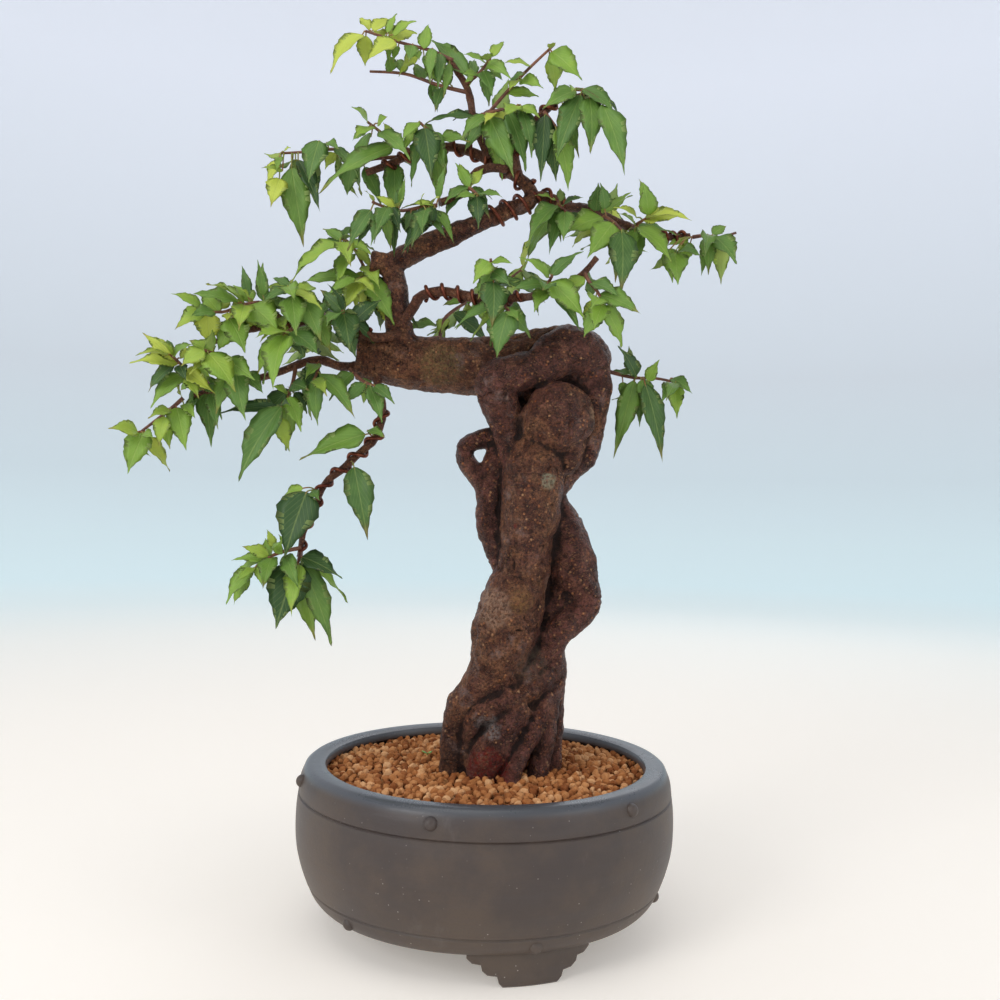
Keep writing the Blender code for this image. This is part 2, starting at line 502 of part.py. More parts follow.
            ((2, 78, 440), (-14, 108, 424), 17), ((8, 84, 445), (38, 90, 430), 15),
            ((14, 89, 450), (4, 122, 434), 17), ((18, 92, 454), (42, 114, 450), 16),
            ((-15, 63, 427), (-4, 88, 452), 14), ((4, 80, 441), (24, 102, 464), 14),
        ],
    },
    "back_left_shoot": {
        "on": "left_lower_branch",
        "twig": [(-112, -20, 395), (-117, 8, 404), (-126, 36, 404), (-136, 60, 396)],
        "leaves": [
            ((-116, 2, 402), (-146, 8, 386), 16), ((-118, 10, 404), (-96, 34, 394), 16),
            ((-120, 18, 405), (-152, 32, 392), 17), ((-123, 28, 405), (-104, 56, 388), 16),
            ((-126, 36, 404), (-160, 50, 384), 17), ((-130, 46, 401), (-116, 76, 380), 16),
            ((-136, 60, 396), (-158, 78, 376), 16), ((-136, 60, 396), (-138, 92, 388), 15),
            ((-122, 24, 405), (-136, 40, 430), 13),
        ],
    },
    "back_right_shoot": {
        "on": "right_branch",
        "twig": [(60, 13, 480), (70, 38, 490), (82, 64, 488), (90, 82, 482)],
        "leaves": [
            ((68, 34, 489), (42, 46, 468), 16), ((70, 40, 490), (98, 50, 472), 16),
            ((74, 48, 490), (50, 72, 474), 16), ((78, 56, 489), (106, 74, 476), 17),
            ((82, 64, 488), (64, 94, 470), 16), ((86, 73, 485), (114, 90, 468), 15),
            ((90, 82, 482), (84, 112, 464), 16), ((76, 52, 490), (88, 68, 514), 14),
        ],
    },
    "back_top_shoot": {
        "on": "apex_branch",
        "twig": [(-16, -5, 530), (-8, 16, 546), (2, 36, 554), (8, 52, 556)],
        "leaves": [
            ((-10, 12, 543), (-34, 24, 526), 14), ((-6, 20, 548), (20, 26, 530), 15),
            ((-2, 28, 551), (-24, 50, 534), 15), ((2, 36, 554), (28, 50, 540), 15),
            ((5, 44, 555), (-10, 72, 538), 15), ((8, 52, 556), (26, 76, 546), 14),
            ((0, 32, 553), (6, 44, 580), 13),
        ],
    },
}

# Training wires: the wood each follows, as the trunk rows and branches it winds along, with
# the span of that path it covers, the rise of one turn and the angle where it starts
STEM_TOP = STRANDS["stem"][9:13]
STEM_TIP = STRANDS["stem"][10:17]
WIRES = {
    "upper_left_wire": {"along": [STEM_TIP, "upper_left_branch"], "span": (0.24, 0.93), "rise": 12, "start": 40},
    "right_wire": {"along": [STEM_TOP, "right_branch"], "span": (0.1, 0.46), "rise": 10, "start": 200},
    "right_tip_wire": {"along": ["right_branch"], "span": (0.8, 0.95), "rise": 7, "start": 90},
    "upper_right_wire": {"along": ["upper_right_branch"], "span": (0.16, 0.84), "rise": 13, "start": 10},
    "lower_right_wire": {"along": ["lower_right_branch"], "span": (0.17, 0.62), "rise": 10, "start": 120},
    "left_lower_wire": {"along": ["left_lower_branch"], "span": (0.17, 0.6), "rise": 11, "start": 60},
    "cascade_wire": {"along": ["cascade_branch"], "span": (0.17, 0.97), "rise": 15, "start": 150},
}

COLOURS = {
    "pot": (0.105, 0.088, 0.08, 0.62),
    "soil": (0.48, 0.25, 0.11, 0.95),
    "mesh": (0.03, 0.05, 0.035, 0.6),
    "bark": (0.12, 0.062, 0.04, 0.8),
    "branch": (0.15, 0.09, 0.05, 0.75),
    "leaf": (0.13, 0.24, 0.03, 0.5),
    "wire": (0.26, 0.095, 0.05, 0.38),
}


def clear_scene():
    for item in list(bpy.data.objects):
        bpy.data.objects.remove(item, do_unlink=True)


def new_collection(name):
    found = bpy.data.collections.new(name)
    bpy.context.scene.collection.children.link(found)
    return found


def material(kind):
    found = bpy.data.materials.get(kind)
    if found:
        return found
    red, green, blue, roughness = COLOURS[kind]
    made = bpy.data.materials.new(kind)
    made.use_nodes = True
    shader = made.node_tree.nodes["Principled BSDF"]
    shader.inputs["Base Color"].default_value = (red, green, blue, 1)
    shader.inputs["Roughness"].default_value = roughness
    shader.inputs["Metallic"].default_value = 1 if kind == "wire" else 0
    return made


def mesh_object(name, mesh, collection):
    made = bpy.data.objects.new(name, mesh)
    collection.objects.link(made)
    return made


def from_bmesh(name, shape, collection):
    mesh = bpy.data.meshes.new(name)
    bmesh.ops.recalc_face_normals(shape, faces=shape.faces)
    shape.to_mesh(mesh)
    shape.free()
    return mesh_object(name, mesh, collection)


def apply_modifiers(target):
    target.data = evaluated_mesh(target)
    target.modifiers.clear()


def evaluated_mesh(target):
    graph = bpy.context.evaluated_depsgraph_get()
    return bpy.data.meshes.new_from_object(target.evaluated_get(graph))


def boolean(target, tools, operation):
    """Joins or cuts with every tool object at once, then removes the tools."""
    group = new_collection("operands")
    for tool in tools:
        for owner in list(tool.users_collection):
            owner.objects.unlink(tool)
        group.objects.link(tool)
    step = target.modifiers.new(operation.lower(), "BOOLEAN")
    step.operation = operation
    step.operand_type = "COLLECTION"
    step.collection = group
    step.solver = "EXACT"
    step.use_self = operation == "DIFFERENCE"
    apply_modifiers(target)
    for tool in tools:
        bpy.data.objects.remove(tool, do_unlink=True)
    bpy.data.collections.remove(group)


def keep_main_piece(target):
    """Drops what a cut has severed, keeping the piece with the most surface."""
    shape = bmesh.new()
    shape.from_mesh(target.data)
    left = set(shape.faces)
    pieces = []
    while left:
        piece = grow_piece(left.pop())
        left -= piece
        pieces.append(piece)
    pieces.sort(key=lambda piece: sum(face.calc_area() for face in piece))
    dropped = [face for piece in pieces[:-1] for face in piece]
    bmesh.ops.delete(shape, geom=dropped, context="FACES")
    shape.to_mesh(target.data)
    shape.free()


def grow_piece(seed):
    """All the faces that can be reached from one across shared edges."""
    piece = {seed}
    ahead = [seed]
    while ahead:
        face = ahead.pop()
        for other in [link for edge in face.edges for link in edge.link_faces]:
            if other not in piece:
                piece.add(other)
                ahead.append(other)
    return piece


def inflated(source, by, collection):
    """A copy of a solid that stands out from it, for cutting its neighbours. Its corner points move by
    more than the given millimetres, so that the flat faces between them move by about that much."""
    mesh = source.data.copy()
    normals = [vertex.normal.copy() for vertex in mesh.vertices]
    for vertex, normal in zip(mesh.vertices, normals):
        vertex.co += normal * by * CORNER_SHARE * MM
    made = mesh_object(source.name + "_room", mesh, collection)
    made.matrix_world = source.matrix_world
    return made


def lifted(row):
    """A tree point keeps its height over the rim when the pot's height changes."""
    return (row[0], row[1], row[2] + POT_HEIGHT - DRAWN_POT_HEIGHT) + tuple(row[3:])


def spline_rows(rows, spacing):
    """Points at about the given spacing on a smooth line through the rows, with every column blended."""
    rows = [Vector(row[:3]).to_tuple() + tuple(row[3:]) for row in rows]
    ends = [rows[0]] + rows + [rows[-1]]
    made = []
    for before, start, end, after in zip(ends, ends[1:], ends[2:], ends[3:]):
        count = max(1, round((Vector(end[:3]) - Vector(start[:3])).length / spacing))
        for step in range(count):
            t = step / count
            made.append(tuple(catmull_rom(p0, p1, p2, p3, t)
                              for p0, p1, p2, p3 in zip(before, start, end, after)))
    made.append(rows[-1])
    return made


def catmull_rom(p0, p1, p2, p3, t):
    return 0.5 * (2 * p1 + (p2 - p0) * t + (2 * p0 - 5 * p1 + 4 * p2 - p3) * t**2
                  + (3 * p1 - p0 - 3 * p2 + p3) * t**3)


def tube(name, rows, resolution, collection):
    """A capped tube through the rows' points, with each row's radius, made into a mesh."""
    curve = bpy.data.curves.new(name, "CURVE")
    curve.dimensions = "3D"
    curve.bevel_depth = MM
    curve.bevel_resolution = resolution
    curve.use_fill_caps = True
    spline = curve.splines.new("POLY")
    spline.points.add(len(rows) - 1)
    for point, (x, y, z, radius) in zip(spline.points, rows):
        point.co = (x * MM, y * MM, z * MM, 1)
        point.radius = radius
    guide = mesh_object(name + "_guide", curve, collection)
    mesh = evaluated_mesh(guide)
    bpy.data.objects.remove(guide, do_unlink=True)
    shape = bmesh.new()
    shape.from_mesh(mesh)
    bmesh.ops.remove_doubles(shape, verts=shape.verts, dist=1e-6)
    return from_bmesh(name, shape, collection)


def turned(name, profile, collection):
    """A ring or solid turned about the pot's axis from (radius, height) points that run down its outside."""
    shape = bmesh.new()
    points = [shape.verts.new((radius * MM, 0, height * MM)) for radius, height in profile]
    for start, end in zip(points, points[1:]):
        shape.edges.new((start, end))
    if profile[0][0] > 0:
        shape.edges.new((points[-1], points[0]))
    mesh = bpy.data.meshes.new(name)
    shape.to_mesh(mesh)
    shape.free()
    made = mesh_object(name, mesh, collection)
    screw = made.modifiers.new("turn", "SCREW")
    screw.steps = TURN_STEPS
    screw.render_steps = TURN_STEPS
    screw.use_merge_vertices = True
    screw.merge_threshold = 0.00001
    apply_modifiers(made)
    return made


def around(radius, degrees, height):
    """A point at an angle round the pot, counted from the front towards +x."""
    turn = math.radians(degrees)
    return Vector((radius * math.sin(turn), -radius * math.cos(turn), height))


def lip_inner_radius():
    return POT_BELLY_R - 5.5 - LIP_WIDTH


def pot_outside():
    """The pot's outer profile from the lip's inner edge over the rim and down to the base."""
    r = POT_BELLY_R
    top = POT_HEIGHT
    base = FOOT_HEIGHT
    lip = lip_inner_radius()
    return [
        (lip, top - 3.2), (lip + 1.1, top - 1.2), (lip + 4, top - 0.2), (lip + LIP_WIDTH * 0.6, top),
        (r - 7.5, top - 0.4), (r - 5.5, top - 2), (r - 4.4, top - 4.6), (r - 2.4, top - 10),
        (r - 1.5, top - 17.2), (r - 2.4, top - 18.2), (r - 1.3, top - 19.2), (r - 0.3, top - 28),
        (r, top - 40), (r - 0.8, base + 35), (r - 3.6, base + 23), (r - 7, base + 13.4),
        (r - 8.6, base + 12.2), (r - 8.2, base + 11), (r - 10.5, base + 6), (r - 14.5, base + 1.4),
        (r - 19, base),
    ]


def pot_inside():
    """The inner profile from the drain hole's edge up to the lip."""
    r = POT_BELLY_R - POT_WALL
    top = POT_HEIGHT
    floor = FOOT_HEIGHT + POT_WALL
    lip = lip_inner_radius()
    return [
        (r - 20, floor), (r - 10, floor + 5), (r - 3.5, floor + 17), (r, top - 40),
        (r - 0.6, top - 20), (r - 3.6, top - 13), (lip + 2, top - 8.5), (lip, top - 6),
    ]


def inside_radius(height):
    """The pot's inner radius at a height, between two points of its profile."""
    for (low_radius, low), (high_radius, high) in zip(pot_inside(), pot_inside()[1:]):
        if height < high:
            break
    return low_radius + (high_radius - low_radius) * (height - low) / (high - low)


def cloud_foot_bottom():
    """Half of a foot's stepped lower edge: distance from its middle, height."""
    half = FOOT_WIDTH / 2
    high = FOOT_HEIGHT
    return [
        (0, 0), (half * 0.44, 0), (half * 0.5, high * 0.12), (half * 0.53, high * 0.33),
        (half * 0.68, high * 0.37), (half * 0.76, high * 0.5), (half * 0.78, high * 0.68),
        (half * 0.92, high * 0.72), (half, high * 0.86), (half, high * 1.1),
    ]


def pot_foot(index, collection):
    """One foot, bent round the base under the pot's body."""
    outer = POT_BELLY_R - 17.5
    middle = FOOT_ANGLE + index * 360 / FOOT_COUNT
    right = cloud_foot_bottom()
    edge = [(-x, z) for x, z in reversed(right[1:])] + right
    top = FOOT_HEIGHT + 3
    shape = bmesh.new()
    rings = []
    for x, z in edge:
        angle = middle + math.degrees(x / outer)
        section = ((outer, z), (outer + 1, top), (outer - FOOT_DEPTH, top), (outer - FOOT_DEPTH, z))
        rings.append([shape.verts.new(around(radius, angle, height) * MM) for radius, height in section])
    for ring, following in zip(rings, rings[1:]):
        for side in range(4):
            shape.faces.new((ring[side], ring[side - 1], following[side - 1], following[side]))
    shape.faces.new(rings[0])
    shape.faces.new(reversed(rings[-1]))
    return from_bmesh("foot", shape, collection)


def stud(radius, angle, height, collection):
    shape = bmesh.new()
    bmesh.ops.create_uvsphere(shape, u_segments=8, v_segments=4, radius=STUD_R * MM)
    made = from_bmesh("stud", shape, collection)
    made.location = around(radius, angle, height) * MM
    return made


def cylinder(name, radius, low, high, collection):
    shape = bmesh.new()
    bmesh.ops.create_cone(shape, cap_ends=True, segments=24, radius1=radius * MM, radius2=radius * MM,
                          depth=(high - low) * MM)
    made = from_bmesh(name, shape, collection)
    made.location = (0, 0, (low + high) / 2 * MM)
    return made


def box(name, size, centre, collection):
    shape = bmesh.new()
    bmesh.ops.create_cube(shape, size=1)
    bmesh.ops.scale(shape, vec=Vector(size) * MM, verts=shape.verts)
    made = from_bmesh(name, shape, collection)
    made.location = Vector(centre) * MM
    return made


def build_pot(parts, cutters):
    floor = FOOT_HEIGHT + POT_WALL
    middle = [(0, FOOT_HEIGHT), (0, floor)]
    pot = turned("pot", list(reversed(middle[1:] + pot_inside() + pot_outside() + middle[:1])), cutters)
    pot.data.flip_normals()
    feet = [pot_foot(index, cutters) for index in range(FOOT_COUNT)]
    pitch = 360 / STUD_COUNT
    studs = [stud(POT_BELLY_R - 3.4, UPPER_STUD_ANGLE + pitch * index, POT_HEIGHT - 9, cutters)
             for index in range(STUD_COUNT)]
    studs += [stud(POT_BELLY_R - 12, LOWER_STUD_ANGLE + pitch * index, FOOT_HEIGHT + 6.5, cutters)
              for index in range(STUD_COUNT)]
    boolean(pot, feet + studs, "UNION")
    drain = cylinder("drain", DRAIN_R, FOOT_HEIGHT - 2, floor + 2, cutters)
    boolean(pot, [drain], "DIFFERENCE")
    finish(pot, "pot", parts)
    return pot


def build_soil(trunk, parts, cutters):
    """The soil follows the pot's inside at a gap, mounds up to the trunk and lies round its roots."""
    top = POT_HEIGHT - SOIL_BELOW_RIM
    floor = FOOT_HEIGHT + POT_WALL + GAP
    wall = [(radius - 2 * GAP, max(height, floor)) for radius, height in pot_inside() if height < top - 1.5]
    rim_r = inside_radius(top) - 2 * GAP
    surface = [(0, top + SOIL_MOUND), (rim_r * 0.32, top + SOIL_MOUND * 0.95),
               (rim_r * 0.62, top + SOIL_MOUND * 0.45), (rim_r, top)]
    profile = [(0, floor)] + wall + list(reversed(surface))
    soil = turned("soil", list(reversed(profile)), cutters)
    soil.data.flip_normals()
    room = MESH_SIDE + 2 * GAP
    depth = MESH_THICKNESS + 2 * GAP
    recess = box("recess", (room, room, 2 * depth), (0, 0, FOOT_HEIGHT + POT_WALL), cutters)
    boolean(soil, [recess, inflated(trunk, ROOT_GAP, cutters)], "DIFFERENCE")
    keep_main_piece(soil)
    finish(soil, "soil", parts)
    return soil


def build_mesh(parts, cutters):
    """The plastic mesh that keeps the soil from running out of the drain hole."""
    height = FOOT_HEIGHT + POT_WALL + GAP + MESH_THICKNESS / 2
    mesh = box("drainage_mesh", (MESH_SIDE, MESH_SIDE, MESH_THICKNESS), (0, 0, height), cutters)
    count = int((MESH_SIDE - MESH_PITCH + MESH_HOLE) / MESH_PITCH)
    offsets = [(index - (count - 1) / 2) * MESH_PITCH for index in range(count)]
    holes = [box("hole", (MESH_HOLE, MESH_HOLE, 3 * MESH_THICKNESS), (x, y, height), cutters)
             for x in offsets for y in offsets]
    boolean(mesh, holes, "DIFFERENCE")
    finish(mesh, "mesh", parts)
    return mesh


def build_trunk(parts, cutters):
    """The strands run into one another as grown roots do, so they are fused and then thinned out."""
    shape = bmesh.new()
    for name, rows in STRANDS.items():
        strand = tube(name, spline_rows([lifted(row) for row in rows], 5), 3, cutters)
        shape.from_mesh(strand.data)
        bpy.data.objects.remove(strand, do_unlink=True)
    trunk = from_bmesh("trunk", shape, cutters)
    fuse = trunk.modifiers.new("fuse", "REMESH")
    fuse.mode = "VOXEL"
    fuse.voxel_size = WOOD_VOXEL * MM
    apply_modifiers(trunk)
    keep_main_piece(trunk)
    soften = trunk.modifiers.new("soften", "SMOOTH")
    soften.factor = 0.5
    soften.iterations = 2
    triangles = sum(len(face.vertices) - 2 for face in trunk.data.polygons)
    thin = trunk.modifiers.new("thin", "DECIMATE")
    thin.ratio = WOOD_TRIANGLES / triangles
    apply_modifiers(trunk)
    keep_main_piece(trunk)
    finish(trunk, "bark", parts)
    return trunk


def build_branch(name, woods, parts, cutters):
    rows = spline_rows([lifted(row) for row in BRANCHES[name]], 7)
    branch = tube(name, rows, 1, cutters)
    clear_of(branch, woods, cutters)
    finish(branch, "branch", parts)
    return branch


def add_cascade_leaves(branch, wires, parts, cutters):
    """The hanging branch carries a few leaves of its own, which pass between the turns of its wire."""
    path = [lifted(row) for row in BRANCHES["cascade_branch"]]
    leaves = [tuple(map(lifted_tip, leaf)) for leaf in CASCADE_LEAVES]
    owners = [branch.name] + [wire.name for wire in wires]
    boolean(branch, grow_leaves(leaves, path, owners, cutters), "UNION")
    clear_of(branch, wires, cutters)
    finish(branch, "branch", parts)


def lifted_tip(value):
    return lifted(value) if isinstance(value, tuple) else value


def wire_rows(wire):
    """A helix round the wood: the path's own radius, the wire's, and what its flat sides take off."""
    path = []
    for piece in wire["along"]:
        rows = BRANCHES[piece] if isinstance(piece, str) else piece
        path += [lifted(row) for row in rows]
    path = spline_rows(path, 1.5)
    low, high = (round(share * (len(path) - 1)) for share in wire["span"])
    path = path[low:high + 1]
    lengths = [0]
    for start, end in zip(path, path[1:]):
        lengths.append(lengths[-1] + (Vector(end[:3]) - Vector(start[:3])).length)
    steps = round(lengths[-1] / wire["rise"] * WIRE_STEPS)
    side = Vector((0, -1, 0))
    rows = []
    index = 0
    for step in range(steps + 1):
        along = lengths[-1] * step / steps
        while index < len(lengths) - 2 and lengths[index + 1] < along:
            index += 1
        share = (along - lengths[index]) / (lengths[index + 1] - lengths[index])
        start, end = path[index], path[index + 1]
        centre = Vector(start[:3]).lerp(Vector(end[:3]), share)
        radius = start[3] + (end[3] - start[3]) * share
        heading = (Vector(end[:3]) - Vector(start[:3])).normalized()
        side = (side - heading * side.dot(heading)).normalized()
        turn = math.radians(wire["start"]) + 2 * math.pi * step / WIRE_STEPS
        reach = (radius + WIRE_R + 2 * GAP) / math.cos(math.pi / WIRE_STEPS)
        spot = centre + reach * (side * math.cos(turn) + heading.cross(side) * math.sin(turn))
        rows.append((spot.x, spot.y, spot.z, WIRE_R))
    return rows


def build_wire(name, solids, parts, cutters):
    wire = tube(name, wire_rows(WIRES[name]), 0, cutters)
    clear_of(wire, solids, cutters)
    finish(wire, "wire", parts)
    return wire


def leaf_rings(root, tip, width, thickness, turn):
    """Three-point sections of a folded, arched blade, from its stalk to where its point starts."""
    root, tip = Vector(root), Vector(tip)
    along = tip - root
    length = along.length
    heading = along.normalized()
    side = heading.cross(Vector((0, -0.8, 0.6))).normalized()
    side.rotate(Quaternion(heading, math.radians(turn)))
    face = side.cross(heading).normalized()
    rings = []
    for share, half in ((0, 0.05), (0.38, 0.5), (0.68, 0.34)):
        middle = root + along * share + face * length * 0.28 * share * (1 - share)
        reach = max(width * half, thickness * 0.5)
        lift = face * max(reach * LEAF_FOLD * 2, thickness / 2)
        ridge = middle - face * thickness / 2
        rings.append([middle - side * reach + lift, middle + side * reach + lift, ridge])
    return rings, tip


def leaf_faces(ring_count):
    faces = [(2, 1, 0)]
    for ring in range(ring_count - 1):
        start = ring * 3
        faces += [(start + side, start + (side + 1) % 3, start + 3 + (side + 1) % 3, start + 3 + side)
                  for side in range(3)]
    last = (ring_count - 1) * 3
    return faces + [(last + side, last + (side + 1) % 3, last + 3) for side in range(3)]


def leaf_trees(rings, tip):
    """Search trees of the whole leaf, and of its blade without the stalk."""
    trees = []
    for kept in (rings, rings[1:]):
        points = [point for ring in kept for point in ring] + [tip]
        trees.append(BVHTree.FromPolygons(points, leaf_faces(len(kept))))
    return trees


def has_room(owners, whole, blade):
    """A leaf's stalk starts inside its own wood, so against that and its wire only the blade is tested."""
    for owner, other_whole, other_blade in PLACED:
        if owner in owners:
            if blade.overlap(other_blade):
                return False
        elif whole.overlap(other_whole):
            return False
    return True


def nearest_on(path, spot, number):
    """The point of a path nearest to a spot, so that a leaf's stalk starts inside its twig. Leaves that
    would share an end of a stretch are spaced out along it by their number."""
    low, high = 0.04 + 0.06 * (number % 6), 0.97 - 0.05 * (number % 6)
    best = None
    for start, end in zip(path, path[1:]):
        start, end = Vector(start[:3]), Vector(end[:3])
        share = (Vector(spot) - start).dot(end - start) / (end - start).length_squared
        point = start.lerp(end, min(max(share, low), high))
        if best is None or (point - Vector(spot)).length < (best - Vector(spot)).length:
            best = point
    return best


def grow_leaves(leaves, path, owners, cutters):
    """Each leaf leans forward or back from its drawn tip until it clears what is already there."""
    label = owners[0]
    padded = LEAF_THICKNESS + 2 * LEAF_GAP
    grown = []
    for number, (drawn_root, tip, width) in enumerate(leaves):
        root = nearest_on(path, drawn_root, number)
        chance = random.Random(f"{label} {number}")
        turn = chance.uniform(-LEAF_TURN, LEAF_TURN)
        for lean in (0, -5, 5, -10, 10, -15, 15, -20, 20, -26, 26):
            moved = (tip[0], tip[1] + lean, tip[2] + abs(lean) * 0.15)
            whole, blade = leaf_trees(*leaf_rings(root, moved, width, padded, turn))
            if has_room(owners, whole, blade):
                break
        else:
            print(f"{label}: no room for leaf {number}")
            continue
        PLACED.append((label, whole, blade))
        rings, end = leaf_rings(root, moved, width, LEAF_THICKNESS, turn)
        shape = bmesh.new()
        points = [shape.verts.new(point * MM) for point in sum(rings, []) + [end]]
        for face in leaf_faces(len(rings)):
            shape.faces.new([points[corner] for corner in face])
        grown.append(from_bmesh("leaf", shape, cutters))
    return grown


def twig_rows(name):
    path = [lifted(point) for point in SHOOTS[name]["twig"]]
    last = len(path) - 1
    radii = [TWIG_R * (1.3 - 0.5 * index / last) for index in range(len(path))]
    return spline_rows([point + (radius,) for point, radius in zip(path, radii)], 14)


def clear_of(item, solids, cutters):
    """Cuts away whatever comes too near the solids round it."""
    near = [solid for solid in solids if boxes_meet(item, solid)]
    boolean(item, [inflated(solid, GAP, cutters) for solid in near], "DIFFERENCE")
    keep_main_piece(item)


def build_twig(name, solids, parts, cutters):
    twig = tube(name, twig_rows(name), 0, cutters)
    clear_of(twig, solids, cutters)
    finish(twig, "leaf", parts)
    return twig


def build_shoot(name, twig, solids, parts, cutters):
    """The twig and its leaves are one grown piece."""
    leaves = [tuple(map(lifted_tip, leaf)) for leaf in SHOOTS[name]["leaves"]]
    owners = [name, SHOOTS[name]["on"]]
    boolean(twig, grow_leaves(leaves, twig_rows(name), owners, cutters), "UNION")
    clear_of(twig, solids, cutters)
    finish(twig, "leaf", parts)


def corners(item):
    points = [item.matrix_world @ vertex.co for vertex in item.data.vertices]
    low = Vector([min(point[axis] for point in points) for axis in range(3)])
    high = Vector([max(point[axis] for point in points) for axis in range(3)])
    return low, high


def boxes_meet(first, second):
    low, high = corners(first)
    other_low, other_high = corners(second)
    near = 2 * MM
    return all(low[axis] - near < other_high[axis] and other_low[axis] - near < high[axis]
               for axis in range(3))


def remember(item):
    """Keeps a solid's surface, in millimetres, so that leaves can grow clear of it."""
    points = [item.matrix_world @ vertex.co / MM for vertex in item.data.vertices]
    tree = BVHTree.FromPolygons(points, [tuple(face.vertices) for face in item.data.polygons])
    PLACED.append((item.name, tree, tree))


def finish(item, kind, parts):
    """Tidies a finished solid, gives it its material and puts it in the part's collection."""
    shape = bmesh.new()
    shape.from_mesh(item.data)
    bmesh.ops.transform(shape, matrix=item.matrix_basis, verts=shape.verts)
    bmesh.ops.remove_doubles(shape, verts=shape.verts, dist=2e-6)
    bmesh.ops.dissolve_degenerate(shape, edges=shape.edges, dist=2e-6)
    open_edges = [edge for edge in shape.edges if edge.is_boundary]
    bmesh.ops.holes_fill(shape, edges=open_edges, sides=8)
    bmesh.ops.triangulate(shape, faces=shape.faces)
    shape.to_mesh(item.data)
    shape.free()
    item.location = (0, 0, 0)
    for owner in list(item.users_collection):
        owner.objects.unlink(item)
    parts.objects.link(item)
    item.data.materials.clear()
    item.data.materials.append(material(kind))
    item.data.shade_smooth()
    item.data.set_sharp_from_angle(angle=math.radians(50))


def stand_centred(parts):
    """Hangs every piece on one empty, placed so that the part's box is centred over the origin."""
    spans = [corners(item) for item in parts.objects]
    low = [min(span[0][axis] for span in spans) for axis in range(3)]
    high = [max(span[1][axis] for span in spans) for axis in range(3)]
    stand = bpy.data.objects.new("stand", None)
    pieces = list(parts.objects)
    parts.objects.link(stand)
    stand.location = (-(low[0] + high[0]) / 2, -(low[1] + high[1]) / 2, -low[2])
    for piece in pieces:
        piece.parent = stand


PLACED = []


def main():
    clear_scene()
    parts = new_collection("bonsai_tree_in_pot")
    cutters = new_collection("cutters")
    trunk = build_trunk(parts, cutters)
    build_pot(parts, cutters)
    build_soil(trunk, parts, cutters)
    build_mesh(parts, cutters)
    remember(trunk)
    woods = {"trunk": trunk}
    for name in BRANCHES:
        woods[name] = build_branch(name, list(woods.values()), parts, cutters)
        remember(woods[name])
    wires = []
    for name in WIRES:
        wires.append(build_wire(name, list(woods.values()) + wires, parts, cutters))
        remember(wires[-1])
    add_cascade_leaves(woods["cascade_branch"], wires, parts, cutters)
    twigs = {}
    for name in SHOOTS:
        twigs[name] = build_twig(name, list(woods.values()) + wires + list(twigs.values()), parts, cutters)
        remember(twigs[name])
    for name, twig in twigs.items():
        others = [other for other in twigs.values() if other is not twig]
        build_shoot(name, twig, list(woods.values()) + wires + others, parts, cutters)
    stand_centred(parts)


main()
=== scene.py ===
import math
import random

import bmesh
import bpy
from mathutils import Matrix, Quaternion, Vector, noise
from mathutils.bvhtree import BVHTree
from mathutils.kdtree import KDTree


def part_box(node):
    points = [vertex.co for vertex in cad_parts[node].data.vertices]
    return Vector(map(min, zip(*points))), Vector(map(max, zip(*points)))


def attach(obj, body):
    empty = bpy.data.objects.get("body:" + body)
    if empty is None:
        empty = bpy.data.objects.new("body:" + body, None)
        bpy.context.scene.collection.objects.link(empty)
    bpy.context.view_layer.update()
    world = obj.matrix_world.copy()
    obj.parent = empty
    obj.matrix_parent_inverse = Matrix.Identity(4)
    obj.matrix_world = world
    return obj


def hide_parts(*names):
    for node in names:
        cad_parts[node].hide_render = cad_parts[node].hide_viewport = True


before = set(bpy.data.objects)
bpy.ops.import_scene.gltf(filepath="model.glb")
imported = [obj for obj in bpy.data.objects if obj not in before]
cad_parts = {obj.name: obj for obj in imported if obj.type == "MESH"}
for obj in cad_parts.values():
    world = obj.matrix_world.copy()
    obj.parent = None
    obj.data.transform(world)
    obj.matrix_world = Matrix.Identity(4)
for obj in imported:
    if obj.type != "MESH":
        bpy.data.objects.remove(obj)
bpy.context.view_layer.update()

# The tables below are in millimetres from the pot's axis, with z from the table and -y to the front.
mm = 0.001
potLow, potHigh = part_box("pot")
axisX = (potLow.x + potHigh.x) / 2
axisY = (potLow.y + potHigh.y) / 2


def placed(x, y, z):
    return Vector((x * mm + axisX, y * mm + axisY, z * mm))


def tint(red, green, blue):
    # a screen colour from 0 to 255, as the light values that a shader takes
    return tuple((part / 255 / 12.92) if part <= 10 else ((part / 255 + 0.055) / 1.055) ** 2.4
                 for part in (red, green, blue)) + (1.0,)


class Graph:
    def __init__(self, tree):
        self.tree = tree

    def node(self, kind, settings, sockets, output=0):
        made = self.tree.nodes.new(kind)
        for key, value in settings.items():
            if key == "stops":
                self.setStops(made.color_ramp.elements, value)
            else:
                setattr(made, key, value)
        for key, value in sockets.items():
            if isinstance(value, Signal):
                self.tree.links.new(value.socket, made.inputs[key])
            else:
                made.inputs[key].default_value = value
        return Signal(self, made.outputs[output])

    def setStops(self, elements, stops):
        while len(elements) < len(stops):
            elements.new(1.0)
        for element, (position, colour) in zip(elements, stops):
            element.position = position
            element.color = colour


